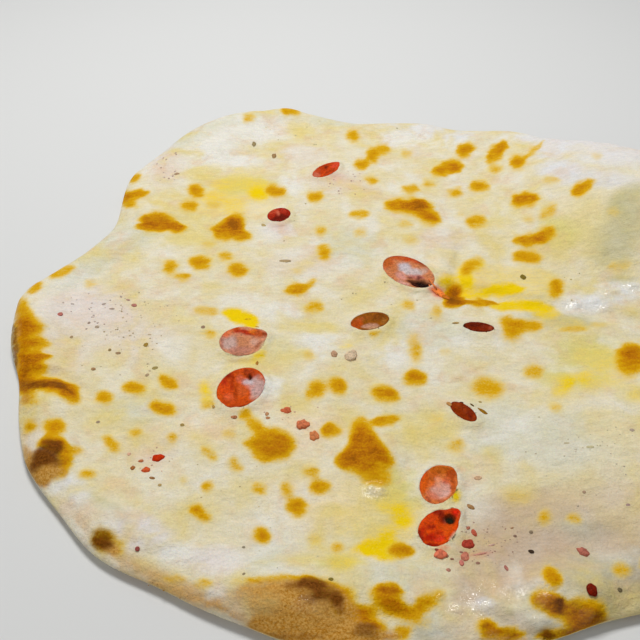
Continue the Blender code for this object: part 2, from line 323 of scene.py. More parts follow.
def paint(mesh, name, values):
    """Stores one number, or one colour, at each point of a mesh for its material to read."""
    kind, field = ("FLOAT", "value") if values.ndim == 1 else ("FLOAT_COLOR", "color")
    attribute = mesh.attributes.new(name, kind, "POINT")
    attribute.data.foreach_set(field, values.astype(np.float32).ravel())


# A square grid is doubled and joined at its rim; z says which face a point is on, and 0 is the rim
sheet = bmesh.new()
bmesh.ops.create_grid(sheet, x_segments=2 * COARSE_RINGS, y_segments=2 * COARSE_RINGS, size=1)
lower = bmesh.ops.duplicate(sheet, geom=sheet.verts[:] + sheet.edges[:] + sheet.faces[:])["geom"]
lower_faces = {piece for piece in lower if isinstance(piece, bmesh.types.BMFace)}
upper_faces = [face for face in sheet.faces if face not in lower_faces]
bmesh.ops.reverse_faces(sheet, faces=list(lower_faces))
for faces, side in ((upper_faces, 1), (lower_faces, -1)):
    for vertex in {corner for face in faces for corner in face.verts}:
        on_rim = max(abs(vertex.co.x), abs(vertex.co.y)) > 1 - GRID_TOLERANCE
        vertex.co.z = 0 if on_rim else side
bmesh.ops.remove_doubles(sheet, verts=sheet.verts[:], dist=GRID_TOLERANCE)
upper_edges = {edge for face in sheet.faces if face.calc_center_median().z > 0 for edge in face.edges}
bmesh.ops.subdivide_edges(sheet, edges=list(upper_edges), cuts=TOP_CUTS, use_grid_fill=True)

# The top's mesh is made finer round the cherry slices
corners = np.array([vertex.co for vertex in sheet.verts])
plan_x, plan_y, _ = disc_plan(corners[:, 0], corners[:, 1])
near_slice = np.zeros(len(corners), bool)
for slice_x, slice_y, half_length, half_width, turn, _, corner_reach in SLICES:
    grown = half_length * (1 + corner_reach) + FINE_REACH, half_width * (1 + corner_reach) + FINE_REACH
    near_slice |= oval_distance(plan_x, plan_y, slice_x, slice_y, *grown, turn) < 1
near_slice &= corners[:, 2] > 0
sheet.verts.index_update()
fine_edges = [edge for edge in sheet.edges if all(near_slice[vertex.index] for vertex in edge.verts)]
bmesh.ops.subdivide_edges(sheet, edges=fine_edges, cuts=1, use_grid_fill=True)

bread_mesh = mesh_from(sheet, "naan")
corners = read_points(bread_mesh)
x, y, inset = disc_plan(corners[:, 0], corners[:, 1])
on_top = corners[:, 2] > 0

# Points near a pocket's lip are drawn onto it, and points inside it go down to its floor
lip_rise = np.zeros(len(x))
slice_level = np.zeros(len(x))  # height of the nearest slice's top face
pocket_floor = np.full(len(x), np.inf)
slice_away = np.full(len(x), np.inf)  # distance outside the nearest slice
on_lip = np.zeros(len(x), bool)
for slice_x, slice_y, half_length, half_width, turn, corner, corner_reach in SLICES:
    from_slice = np.hypot(x - slice_x, y - slice_y)
    near = np.flatnonzero(on_top & (from_slice < 2 * half_length + SLICE_MOUND_REACH))
    placement = slice_placement(slice_x, slice_y, turn)
    spots = np.stack([x[near], y[near], top_height(x[near], y[near])], axis=1)
    spots = moved(spots, placement.inverted())
    direction = np.degrees(np.arctan2(spots[:, 1] / half_width, spots[:, 0] / half_length))
    reach = slice_reach(direction, corner - turn, corner_reach)
    ring = np.hypot(spots[:, 0] / half_length, spots[:, 1] / half_width) / reach
    radius = np.hypot(spots[:, 0], spots[:, 1])
    away = radius * (1 - 1 / np.maximum(ring, MIDDLE_SHARE))
    on_face = np.stack([spots[:, 0], spots[:, 1], np.full(len(near), SLICE_THICKNESS)], axis=1)
    face_height = moved(on_face, placement)[:, 2]
    slice_level[near] = np.where(away < slice_away[near], face_height, slice_level[near])
    slice_away[near] = np.minimum(slice_away[near], away)
    drawn = np.abs(away - POCKET_GAP) < LIP_SNAP
    lap = np.clip(LAP_CONTRAST * unevenness(x[near], y[near], LAP_LENGTH, layer=81.0), 0, 1)
    lip_radius = radius - away + POCKET_GAP - LAP * lap
    spots[:, :2] *= np.where(drawn, lip_radius / np.maximum(radius, CLOSEST), 1)[:, None]
    placed = moved(spots, placement)
    x[near], y[near] = placed[:, 0], placed[:, 1]
    lip_rise[near[drawn]] = LAP_RISE * lap[drawn]
    on_lip[near[drawn]] = True
    inside = (away < POCKET_GAP) & ~drawn
    spots[:, 2] = -POCKET_GAP
    pocket_floor[near] = np.where(inside, moved(spots, placement)[:, 2], pocket_floor[near])

# Low relief of the skin, drawn out along x as the dough was: length, stretch, height
SKIN_RELIEF = ((0.0080, 1.4, 0.00040), (0.0036, 1.8, 0.00020), (0.0026, 6.0, 0.00012))
calm = ease(slice_away / RELIEF_FADE)
relief = calm * sum(height * unevenness(x, y, length, stretch, layer=7.0)
                    for length, stretch, height in SKIN_RELIEF)
low = underside(x, y)
high = low + dough_thickness(x, y, inset)
roundness = np.sqrt(1 - (1 - np.minimum(1, inset / EDGE_BAND)) ** 2)
edge = low + CRUMB * EDGE_HEIGHT
z = edge + np.where(on_top, high - edge + relief, low - edge) * roundness
climb = np.where(on_top & (slice_level > 0), ease(1 - slice_away / CLIMB_REACH), 0)
z += climb * (slice_level - LIP_SINK - z)
z = np.minimum(z + lip_rise, pocket_floor)

# Bites in the outlines of the marks: size, stretch, pixels across, pixels down
RAGGED = ((0.0045, 1, 2.1, 2.1), (0.0016, 2.0, 1.7, 1.1))
across, down = seen_at(np.stack([x, y, z], axis=1))
ragged_across, ragged_down = across.copy(), down.copy()
for size, stretch, across_bite, down_bite in RAGGED:
    ragged_across += across_bite * unevenness(x, y, size, stretch, layer=21.0)
    ragged_down += down_bite * unevenness(x, y, size, stretch, layer=33.0)
NEAREST_SHARE = 0.01  # no point is taken to be nearer an oval's middle than this share of its reach


def mark_distance(across, down, px, py, width, height, turn=0):
    """How far pixels are from the middle of an oval in the picture, as a share of its reach."""
    return oval_distance(across, down, px, py, width / 2, height / 2, -turn)


def covered(across, down, mark, fringe, depth):
    """How strongly a mark covers pixels: its strength in percent, then its oval in the picture.
    From fringe pixels outside the oval to depth pixels inside it, it grows to its full strength."""
    strength, px, py, width, height, *turn = mark
    distance = mark_distance(across, down, px, py, width, height, *turn)
    reach = np.hypot(across - px, down - py) / np.maximum(distance, NEAREST_SHARE)
    inner = min(depth, width / 2, height / 2)
    return strength / 100 * ease((fringe - (distance - 1) * reach) / (fringe + inner))


def marked(marks, fringe, depth):
    """How strongly a list of marks covers the bread's points, with ragged outlines."""
    bare = np.ones(len(ragged_across))
    for mark in marks:
        bare *= 1 - covered(ragged_across, ragged_down, mark, fringe, depth)
    return 1 - bare


# Browned tops of the small blisters, which touched the oven's heat. As in the next lists, each row is the
# mark's strength in percent and its oval.
BROWN_SPOTS = (
    # the back left
    (34, 249, 118, 10, 8), (44, 290, 111, 18, 7, -8), (55, 276, 191, 20, 10, -12),
    (52, 315, 197, 15, 10, 5), (36, 321, 231, 10, 8), (58, 196, 191, 16, 12, -10),
    (50, 189, 206, 18, 11, -5), (56, 134, 195, 26, 8, 8), (44, 128, 203, 16, 7, -20),
    (42, 134, 178, 12, 7, 25), (62, 157, 220, 38, 17), (60, 160, 227, 50, 9), (45, 178, 229, 16, 5, -8),
    (60, 236, 221, 20, 16, 30), (60, 226, 229, 30, 12, 5), (60, 240, 235, 22, 11, -15),
    (46, 229, 234, 30, 12, 8), (50, 232, 224, 16, 10), (50, 234, 227, 14, 8), (25, 213, 205, 14, 8),
    (26, 209, 244, 14, 7), (52, 170, 267, 14, 15), (40, 183, 277, 15, 5), (58, 200, 263, 23, 15, -5),
    (54, 238, 270, 21, 15, -5), (36, 225, 256, 14, 8), (52, 324, 252, 14, 16), (56, 297, 290, 21, 11),
    (34, 310, 284, 10, 4, 30), (46, 315, 307, 19, 11), (28, 206, 311, 26, 8, -5), (24, 212, 334, 10, 7),
    (26, 308, 355, 14, 9), (40, 62, 272, 26, 8, 22), (42, 35, 288, 16, 8, 40), (22, 90, 283, 12, 7),
    (20, 297, 271, 9, 5), (12, 300, 135, 16, 20),
    # the back right
    (46, 353, 136, 13, 12), (52, 373, 155, 13, 16, -5), (40, 384, 149, 14, 7, -10), (46, 361, 165, 14, 9),
    (28, 406, 154, 11, 7), (60, 465, 150, 19, 12, 15), (60, 497, 152, 28, 12, 46),
    (58, 518, 162, 16, 14, 10), (34, 534, 150, 22, 4, 40), (60, 448, 168, 29, 12, 10),
    (30, 455, 166, 14, 12), (34, 438, 172, 14, 6), (34, 495, 169, 11, 7), (34, 429, 184, 12, 7),
    (52, 479, 186, 18, 11), (40, 455, 193, 13, 7), (38, 411, 190, 15, 7), (38, 372, 180, 13, 6, -10),
    (26, 551, 180, 16, 7), (58, 582, 188, 26, 12, 36), (60, 525, 200, 29, 14, 8), (34, 524, 199, 16, 8),
    (34, 548, 212, 22, 12, 40), (22, 528, 219, 10, 6), (46, 477, 222, 22, 13), (18, 461, 214, 8, 6),
    (36, 359, 214, 19, 7), (66, 406, 206, 44, 16, -2), (50, 412, 206, 28, 10), (64, 428, 217, 26, 15, -20),
    (56, 422, 205, 20, 9, -10), (26, 405, 224, 14, 7), (24, 360, 233, 13, 8), (24, 411, 240, 14, 8),
    (60, 530, 240, 34, 12, 4), (60, 546, 235, 24, 13, 30), (54, 527, 257, 31, 14, -4),
    (54, 556, 288, 17, 23, -12), (22, 619, 266, 26, 11, 5), (20, 613, 212, 12, 9), (20, 597, 156, 8, 5),
    (38, 473, 264, 20, 13, 20), (40, 466, 271, 12, 10, 30), (80, 455, 292, 14, 15), (95, 453, 302, 16, 7),
    (55, 478, 303, 44, 4, -2), (60, 450, 297, 10, 8), (32, 437, 312, 12, 15), (34, 408, 305, 12, 10),
    (46, 512, 331, 24, 26), (42, 528, 326, 32, 12, -4), (32, 573, 329, 28, 7), (20, 598, 325, 16, 5),
    (24, 414, 343, 18, 24), (26, 416, 356, 15, 18), (62, 415, 378, 24, 16), (62, 631, 360, 34, 36, -20),
    (34, 630, 353, 26, 18), (38, 533, 372, 23, 15, 5), (34, 374, 333, 10, 5),
    # the front left
    (54, 317, 389, 20, 21), (30, 308, 397, 8, 10), (30, 208, 405, 14, 12), (44, 245, 415, 14, 12),
    (50, 256, 426, 18, 12, -30), (62, 273, 445, 48, 36), (10, 279, 444, 26, 24), (30, 262, 457, 18, 13),
    (46, 328, 430, 14, 13), (58, 134, 388, 23, 13, -5), (54, 168, 382, 22, 12, -35), (54, 104, 398, 18, 13),
    (64, 162, 408, 27, 15, -18), (42, 136, 433, 13, 9), (42, 113, 446, 17, 12, -40), (30, 107, 438, 5, 6),
    (36, 172, 438, 11, 10), (40, 88, 474, 15, 9), (32, 75, 451, 14, 10), (34, 209, 453, 20, 10, -45),
    (26, 229, 434, 14, 8), (34, 236, 465, 19, 12, -45), (40, 207, 487, 13, 11), (52, 200, 514, 24, 13, -32),
    (22, 184, 480, 8, 7), (20, 195, 508, 10, 8), (38, 259, 489, 18, 12, -8), (38, 286, 490, 13, 17),
    (58, 297, 507, 23, 21, -30), (54, 320, 487, 23, 16), (40, 311, 472, 15, 11), (52, 262, 535, 18, 16),
    (24, 315, 539, 18, 14),
    # the front right
    (58, 338, 386, 22, 19, -30), (62, 385, 394, 31, 17, -12), (42, 488, 388, 39, 27, -8),
    (28, 556, 408, 13, 8), (44, 333, 430, 17, 13), (50, 362, 460, 50, 34), (38, 374, 463, 46, 42, 8),
    (54, 362, 434, 26, 40, 22), (52, 386, 420, 30, 10, 10), (34, 366, 448, 30, 40), (34, 378, 482, 34, 18),
    (42, 347, 461, 24, 10), (48, 354, 446, 42, 16, 66), (34, 378, 449, 38, 14, -52), (34, 250, 443, 16, 8),
    (34, 505, 320, 14, 10), (30, 456, 446, 22, 18), (20, 437, 418, 18, 14), (44, 545, 517, 14, 15),
    (32, 574, 519, 14, 9, -10), (20, 518, 497, 34, 20), (62, 401, 551, 26, 15, -5), (36, 337, 548, 11, 9),
    (60, 554, 577, 20, 14, -38), (30, 547, 571, 12, 10), (36, 621, 570, 22, 15, -15), (20, 206, 334, 12, 7),
    (16, 446, 352, 12, 6),
    # the part that the picture leaves out
    (55, 668, 226, 18, 10, 30), (66, 700, 268, 30, 16, 12), (50, 664, 300, 16, 9),
    (55, 742, 240, 14, 9, 20), (66, 720, 318, 18, 26, -20), (66, 676, 366, 30, 18, -10),
    (60, 752, 352, 20, 12), (60, 660, 430, 24, 13, 10), (50, 706, 418, 14, 10), (70, 744, 446, 26, 20, 15),
    (55, 690, 478, 18, 12, -15), (66, 662, 512, 28, 17, 10), (55, 724, 516, 16, 12),
    (55, 648, 562, 18, 10, 30), (50, 696, 180, 22, 9, 35), (45, 656, 168, 12, 8), (55, 775, 300, 10, 20),
    (60, 700, 548, 22, 10, 20),
)

# Gold to dark brown along the rim, in front and round the largest blisters
GOLD_RIM = (
    # the left rim
    (46, 24, 315, 16, 34, 10), (60, 30, 328, 30, 22, 10), (48, 22, 344, 12, 50, 5), (36, 30, 344, 28, 16),
    (44, 40, 344, 20, 7), (74, 32, 366, 32, 26), (62, 30, 370, 22, 24), (66, 36, 357, 28, 4),
    # Along the crease in the left rim, about 386 down, the dark arc is browning with painted shade in the
    # crease.
    (88, 26, 389, 14, 13), (56, 52, 386, 52, 14, -6), (90, 50, 385, 38, 6, -4), (56, 70, 394, 24, 14, -42),
    (85, 64, 389, 22, 6, -30), (40, 30, 401, 18, 12), (46, 29, 426, 13, 13), (80, 22, 378, 14, 18),
    (52, 52, 427, 18, 18), (62, 52, 443, 26, 12), (40, 60, 427, 10, 10), (42, 62, 456, 16, 34),
    (30, 66, 462, 10, 26), (30, 56, 476, 20, 10), (50, 103, 540, 27, 25, -30), (30, 120, 548, 10, 16, -30),
    # the front rim
    (22, 244, 582, 26, 8), (34, 280, 579, 60, 8, 2), (56, 322, 588, 56, 22, -22),
    (54, 342, 600, 28, 34, -20), (50, 352, 614, 34, 18), (46, 366, 612, 22, 12), (54, 386, 594, 36, 18),
    (60, 388, 590, 20, 9), (50, 392, 608, 36, 18, -20), (50, 394, 606, 16, 8, -20), (44, 412, 614, 18, 12),
    (62, 425, 604, 22, 16, 20), (22, 422, 622, 22, 12), (36, 439, 595, 11, 10), (80, 366, 628, 40, 22),
    (46, 402, 633, 20, 16), (66, 486, 628, 20, 13, -40), (62, 504, 634, 42, 12),
    (60, 546, 603, 34, 18, -16), (70, 556, 606, 24, 20, -60), (58, 568, 614, 26, 22, -40),
    (60, 588, 614, 42, 36, -20), (60, 584, 626, 40, 20, 20), (54, 556, 636, 40, 10), (28, 176, 579, 26, 6),
    (32, 203, 583, 20, 8, -6), (14, 546, 589, 18, 8),
)

# Tan, leathery stretches of the rim: the browned front, the foot of the scorched blister at the left
TAN_RIM = (
    (50, 278, 606, 66, 50, -8), (60, 318, 616, 84, 74, -14), (50, 276, 587, 84, 20, 3),
    (70, 352, 634, 60, 24), (66, 384, 636, 34, 16), (90, 290, 630, 90, 30, -8), (90, 330, 642, 90, 20),
    (30, 176, 586, 74, 26, -20), (30, 236, 596, 36, 24, -14), (80, 44, 466, 36, 36, -30),
    (40, 62, 474, 18, 12), (50, 27, 458, 12, 28, 8), (60, 40, 481, 24, 14, -34),
    (24, 124, 560, 50, 14, -38), (26, 82, 524, 30, 12, -50), (40, 17, 330, 6, 90),
    (60, 602, 628, 40, 16, 24), (18, 190, 597, 90, 12, -18), (34, 226, 610, 50, 16, -22),
    (60, 26, 400, 14, 10), (40, 500, 640, 60, 12), (60, 110, 548, 20, 12, -30),
)

# Scorched tops of the largest blisters, dark brown
CHARRED = (
    (80, 49, 452, 36, 22, 32), (62, 35, 465, 14, 20, -10), (46, 52, 462, 30, 18),
    (50, 102, 538, 28, 26, -20), (42, 97, 544, 12, 12), (40, 106, 545, 14, 12, -30),
    (62, 312, 583, 32, 14, -8), (62, 326, 592, 42, 20, -26), (40, 308, 598, 26, 14), (44, 340, 606, 16, 26),
    (50, 366, 628, 30, 16), (66, 559, 604, 8, 13, 20), (80, 582, 638, 40, 8, 12),
    # Along the crease in the left rim, about 386 down, the dark arc is browning with painted shade in the
    # crease.
    (50, 484, 627, 9, 10, -40), (52, 26, 386, 20, 16), (50, 48, 385, 44, 8, -3), (40, 62, 388, 22, 6, -25),
    (50, 596, 630, 26, 8, 34), (60, 548, 637, 14, 6), (50, 15, 345, 7, 44, 4), (20, 574, 612, 50, 30, -20),
    (20, 596, 622, 16, 14), (34, 560, 606, 12, 14), (22, 504, 632, 40, 12), (30, 27, 371, 12, 14),
    (36, 40, 386, 18, 7, -2), (20, 30, 396, 12, 8), (22, 28, 426, 10, 10), (25, 46, 440, 14, 8),
    (26, 388, 590, 22, 14), (20, 396, 596, 16, 10), (20, 322, 622, 30, 16), (24, 510, 634, 14, 8),
    (30, 560, 632, 44, 14), (30, 541, 634, 20, 10), (40, 451, 300, 9, 7), (42, 295, 586, 26, 12, -6),
    (36, 325, 600, 30, 16, -26), (36, 295, 636, 70, 10), (30, 366, 634, 30, 10), (45, 598, 616, 16, 12),
)

# Saffron brushed or dripped on: deep yellow stains, then wide faint washes
SAFFRON_STAINS = (
    (100, 240, 317, 34, 15, -16), (90, 250, 322, 18, 12, -20), (50, 230, 312, 18, 7),
    (75, 259, 356, 16, 11, 35), (34, 246, 362, 20, 7), (62, 206, 396, 16, 26, 10), (35, 204, 386, 18, 20),
    (85, 259, 193, 22, 15), (44, 240, 184, 64, 16), (30, 215, 196, 30, 20), (24, 250, 172, 40, 12),
    (66, 475, 264, 20, 12, 10), (90, 466, 279, 14, 24, 30), (66, 460, 292, 12, 16, 20),
    (46, 444, 279, 20, 14), (55, 448, 284, 14, 10), (85, 502, 290, 44, 11, 2), (50, 474, 296, 30, 8),
    (90, 538, 307, 30, 11, -10), (75, 518, 306, 60, 12), (34, 500, 282, 120, 40), (50, 548, 314, 26, 8),
    (46, 572, 379, 40, 18, 5), (60, 560, 392, 20, 12), (80, 568, 384, 10, 8), (34, 606, 376, 60, 32, 10),
    (28, 598, 356, 60, 26), (40, 636, 394, 24, 20), (85, 402, 517, 24, 24, 10), (30, 414, 508, 20, 14),
    (50, 392, 508, 26, 14), (85, 378, 547, 44, 20, 6), (66, 388, 556, 26, 12), (46, 362, 550, 30, 14),
    (40, 346, 346, 14, 8), (95, 456, 496, 9, 11, 30), (34, 392, 534, 66, 34, 20),
    (70, 387, 536, 22, 16, 40), (30, 386, 500, 50, 30), (26, 250, 207, 60, 34), (26, 560, 322, 60, 12, -10),
    (18, 430, 432, 120, 24, 10), (16, 330, 470, 60, 30), (26, 348, 520, 40, 40), (20, 300, 560, 40, 16),
    (50, 366, 612, 24, 14), (40, 350, 600, 14, 30, -20), (22, 322, 326, 30, 10), (46, 342, 562, 34, 20),
    (34, 218, 204, 60, 30), (30, 392, 608, 50, 26, -10), (40, 24, 312, 16, 26), (30, 64, 456, 16, 36),
    (30, 51, 426, 20, 16), (55, 680, 396, 60, 20, 10), (60, 730, 386, 30, 18), (45, 690, 300, 40, 12),
    (50, 690, 500, 40, 22, 10),
)

# Cherry juice that soaked into the dough
JUICE_STAINS = (
    (66, 437, 291, 18, 10, -32), (44, 446, 296, 16, 7, -30), (14, 326, 176, 44, 20),
    (16, 345, 182, 44, 14, -20), (14, 166, 172, 30, 22), (14, 152, 464, 40, 24),
    (14, 298, 422, 50, 26, -20), (14, 240, 411, 30, 10), (12, 480, 545, 60, 40), (8, 90, 310, 110, 50),
    (50, 443, 548, 12, 8, -10), (22, 352, 357, 16, 12), (14, 400, 288, 30, 8, -10), (22, 279, 226, 22, 16),
    (26, 478, 554, 24, 4, 8), (20, 478, 478, 14, 8), (28, 461, 469, 10, 6), (20, 240, 361, 24, 6),
)

# Wet, buttered patches that shine
MOIST = (
    (100, 604, 299, 84, 24, 16), (100, 376, 491, 30, 18), (100, 481, 606, 32, 22, -20),
    (90, 458, 609, 26, 6, -12), (100, 545, 599, 20, 10), (100, 586, 616, 14, 13), (100, 304, 604, 28, 18),
    (90, 523, 594, 12, 9), (100, 441, 598, 8, 6), (45, 560, 614, 60, 40, -10), (40, 486, 598, 60, 40),
    (70, 484, 592, 10, 5, -20), (20, 398, 266, 40, 20), (40, 396, 636, 20, 10),
)

# Where the skin is of one even tone, without clouds
EVEN = (
    (90, 604, 206, 110, 130),  # the shaded face of the fold
    (90, 590, 144, 140, 30, -8),  # its white back edge
    (70, 590, 450, 130, 90), (80, 560, 520, 180, 110), (50, 90, 310, 90, 40), (60, 710, 230, 130, 160),
)

# How far each kind of mark fades outside its ovals, and how far inside them it grows, in pixels
FADES = (
    ("spots", BROWN_SPOTS, 6.0, 12.0), ("rim", GOLD_RIM, 7.0, 12.0), ("tan", TAN_RIM, 4.0, 9.0),
    ("char", CHARRED, 4.0, 9.0), ("saffron", SAFFRON_STAINS, 5.0, 9.0), ("juice", JUICE_STAINS, 5.0, 12.0),
    ("moist", MOIST, 4.0, 6.0), ("even", EVEN, 10.0, 30.0),
)
cover = {name: marked(marks, fringe, depth) for name, marks, fringe, depth in FADES}
cover["browning"] = 1 - (1 - cover.pop("spots")) * (1 - cover.pop("rim"))

# The bare dough's tones, floury and white, thin and yellow, flushed by juice, and among them painted shade
# where it slopes away from the light and painted highlight where its butter shines: each colour, and the
# ovals that have it
CREAM = 0xE4D8B4
TONES_AND_PAINTED_LIGHT = (
    # Chalky white: floury dough, and painted highlight on the buttered streak below the fold, about 600
    # across and 298 down.
    (0xEAE8E2, (  # chalky
        (255, 128, 90, 30), (210, 148, 60, 40, 20), (240, 160, 44, 14), (292, 182, 30, 26),
        (282, 312, 40, 22), (320, 341, 60, 18), (430, 138, 90, 24, -4), (590, 150, 110, 26, -8),
        (520, 140, 60, 14), (600, 295, 90, 24, 14), (393, 352, 40, 34), (268, 386, 34, 30),
        (75, 490, 50, 28, -50), (175, 552, 60, 24, -10), (216, 594, 22, 18), (606, 298, 84, 26, 14),
        (590, 303, 56, 18, 6), (600, 298, 60, 9, 16), (62, 488, 28, 24), (385, 140, 36, 14),
        (445, 622, 50, 30), (690, 220, 80, 60),
    )),
    (0xE2D2C0, (  # pale brown
        (165, 166, 46, 40), (300, 155, 60, 20), (340, 182, 70, 26), (300, 262, 90, 30), (130, 330, 110, 60),
        (60, 350, 60, 60), (440, 240, 60, 24), (150, 445, 60, 40), (70, 508, 40, 16, -50),
        (470, 612, 60, 20), (700, 460, 120, 120),
    )),
    (0xE3D28E, (  # straw
        (215, 174, 60, 20), (195, 226, 70, 30), (300, 132, 30, 20), (180, 242, 60, 18), (165, 314, 60, 30),
        (318, 328, 50, 12), (290, 350, 50, 26), (500, 214, 50, 20), (590, 228, 40, 60), (500, 290, 120, 36),
        (630, 392, 50, 26), (300, 560, 30, 14), (420, 430, 100, 40), (360, 530, 60, 40), (520, 494, 44, 22),
        (470, 312, 44, 10),
    )),
    (0xDACE6E, (  # buttery
        (240, 186, 90, 20), (560, 232, 50, 34), (590, 352, 90, 34), (576, 376, 80, 30), (395, 490, 60, 50),
        (338, 562, 50, 16),
    )),
    (0xD6D4BE, (  # greenish white
        (110, 245, 120, 36, 20), (80, 275, 70, 20, 25), (350, 245, 70, 40), (430, 330, 90, 40),
        (270, 556, 80, 34), (130, 410, 70, 30), (500, 430, 80, 60), (560, 440, 90, 60),
        (190, 136, 90, 22, 28), (240, 119, 80, 14, 12), (335, 121, 60, 12, -4), (278, 346, 26, 20),
        (400, 575, 90, 30),
    )),
    (0xE4DADA, (  # cool and rosy
        (280, 232, 36, 22), (90, 308, 110, 44), (140, 532, 70, 40, -24), (216, 560, 70, 30),
        (600, 146, 120, 26, -8), (165, 153, 34, 22, 40),
    )),
    (CREAM, (
        (260, 250, 110, 36), (210, 286, 110, 30), (190, 350, 70, 40), (400, 170, 70, 30),
        (470, 206, 70, 30), (540, 272, 50, 20), (350, 290, 70, 40), (470, 362, 60, 24), (60, 406, 50, 20),
        (100, 470, 50, 40), (215, 495, 90, 40), (610, 440, 60, 50), (600, 482, 90, 30),
        (700, 300, 120, 160),
    )),
    # Olive: painted shade on the fold's shaded face, in the crease under it, in the fold at the lower left
    # and at the lower right.
    (0xC0B886, (  # olive
        (628, 196, 40, 20, 30), (630, 215, 50, 50, 30), (612, 245, 50, 50), (560, 320, 80, 16, -4),
        (105, 507, 60, 18, -28), (610, 600, 60, 24, 20), (622, 204, 34, 16, 20), (620, 280, 34, 10),
    )),
    # Bluish white: painted highlight on the glints at 376, 493 and 482, 606 and on the buttered streak, and
    # the pale back edge, partly painted light where its crest faces the lamp, with a cool white at the
    # lower left.
    (0xDEDEE4, (  # bluish white
        (74, 489, 40, 24, -40), (560, 138, 90, 14, -2), (600, 150, 110, 30, -10), (560, 150, 60, 24),
        (598, 300, 70, 16, 10), (560, 168, 50, 16), (590, 178, 100, 20, -4), (560, 170, 40, 16),
        (376, 493, 24, 13), (376, 493, 20, 11), (482, 606, 22, 18, -20), (482, 606, 18, 15, -20),
        (425, 130, 80, 14, -6), (455, 136, 50, 12, -4), (530, 140, 40, 10), (148, 534, 64, 34, -24),
    )),
    (0xEEDBB4, (  # peach
        (205, 430, 60, 30), (305, 432, 70, 60), (320, 505, 110, 60), (434, 262, 14, 14),
        (86, 524, 60, 24, -50),
    )),
    (0xD6B478, (  # crust
        (150, 572, 70, 16, -24), (270, 606, 90, 50), (318, 610, 60, 40), (34, 440, 20, 30),
        (124, 560, 60, 24, -36), (160, 582, 70, 20, -18), (200, 600, 60, 20, -20), (32, 436, 20, 40),
    )),
    # Dull brown: the pinkish lower right, partly painted shade where the dough slopes down away from the
    # light.
    (0xC2A68E, (  # dull brown
        (510, 526, 90, 70), (550, 505, 80, 36), (530, 560, 110, 60), (490, 584, 90, 24), (480, 556, 60, 50),
        (560, 540, 60, 30), (612, 534, 70, 44), (470, 598, 40, 16), (680, 560, 90, 40),
    )),
    # Ashen grey: painted shade over the lower right, and a cool grey along the front rim.
    (0xB4B09C, (  # ashen
        (590, 532, 70, 24), (590, 570, 90, 40), (430, 628, 70, 32), (540, 626, 40, 14),
    )),
    (0xC2C8C8, (  # bluish grey
        (445, 624, 50, 28),
    )),
    (0xDEC494, (  # sandy
        (500, 590, 30, 14), (98, 510, 50, 14, -28), (520, 500, 60, 26), (502, 598, 40, 14),
        (540, 578, 40, 16),
    )),
    # Shady: painted shade on the lower right corner and the front rim, which face away from the light.
    (0xA69A80, (  # shady
        (640, 560, 50, 50), (528, 632, 40, 14), (516, 620, 40, 18), (604, 586, 50, 22), (640, 588, 50, 30),
        (600, 604, 80, 24, 24), (628, 592, 50, 24, 24), (545, 628, 40, 16),
    )),
    (0xD8C4AC, (  # buff
        (600, 500, 110, 44), (640, 510, 60, 60), (575, 498, 60, 30), (610, 545, 60, 30), (482, 560, 44, 40),
    )),
)
CREAM_WEIGHT = 0.35  # of the cream, against 1 for the middle of an oval
TONE_TIGHTNESS = 0.8  # at 1, a tone would end at the edge of its oval; below 1, it spreads wider


def linear(colour):
    """The linear colour of an sRGB hex value, with a full alpha."""
    shares = [(colour >> shift & 255) / 255 for shift in (16, 8, 0)]
    curved = [share / 12.92 if share <= 0.04045 else ((share + 0.055) / 1.055) ** 2.4 for share in shares]
    return (*curved, 1.0)


tone_weight = np.full(len(x), CREAM_WEIGHT)
tone = tone_weight[:, None] * np.array(linear(CREAM))
for colour, ovals in TONES_AND_PAINTED_LIGHT:
    for oval in ovals:
        weight = swell(TONE_TIGHTNESS * mark_distance(ragged_across, ragged_down, *oval))
        tone += weight[:, None] * np.array(linear(colour))
        tone_weight += weight
tone /= tone_weight[:, None]

# Bubbles under the skin that the light picks out: rise in millimetres, oval
BUBBLES = (
    (1.0, 377, 490, 28, 16), (0.8, 370, 489, 12, 9), (0.8, 382, 492, 12, 9), (1.4, 550, 600, 34, 20, -15),
    (1.5, 592, 617, 34, 30, -20), (1.8, 490, 606, 42, 26, -10), (0.8, 458, 607, 24, 8, -12),
    (0.6, 441, 596, 12, 10), (1.2, 488, 630, 40, 18, -10), (0.8, 540, 624, 36, 16),
    (0.6, 212, 148, 60, 30, 10), (0.8, 78, 496, 40, 26, -50), (0.7, 150, 540, 70, 30, -20),
    (0.8, 322, 598, 54, 34, -20), (0.9, 390, 600, 50, 26, -14), (0.5, 270, 600, 60, 40, -10),
    (1.0, 366, 628, 36, 18), (0.7, 524, 594, 10, 8), (0.4, 441, 598, 8, 7), (0.6, 576, 306, 26, 8, 14),
    (0.6, 596, 300, 24, 7, 18), (0.6, 612, 292, 26, 7, 16), (0.6, 632, 286, 22, 7, 16),
    (0.5, 604, 310, 24, 7, 14), (0.4, 230, 224, 30, 16), (0.3, 384, 420, 26, 10), (0.4, 306, 603, 18, 9),
)
MILLIMETRES = 1000  # in a metre
SPOT_RISE = 0.0005  # how far a browned blister's top stands out
rise = SPOT_RISE * cover["browning"]
for bubble_rise, *oval in BUBBLES:
    rise += bubble_rise / MILLIMETRES * swell(mark_distance(across, down, *oval))
z = np.where(on_top & np.isinf(pocket_floor), z + rise * calm * roundness, z)


def at_lips(operator, **options):
    """Runs a bmesh operator on the points of the bread that were drawn onto a lip."""
    sheet = bmesh.new()
    sheet.from_mesh(bread_mesh)
    operator(sheet, verts=[vertex for vertex in sheet.verts if on_lip[vertex.index]], **options)
    sheet.to_mesh(bread_mesh)
    sheet.free()


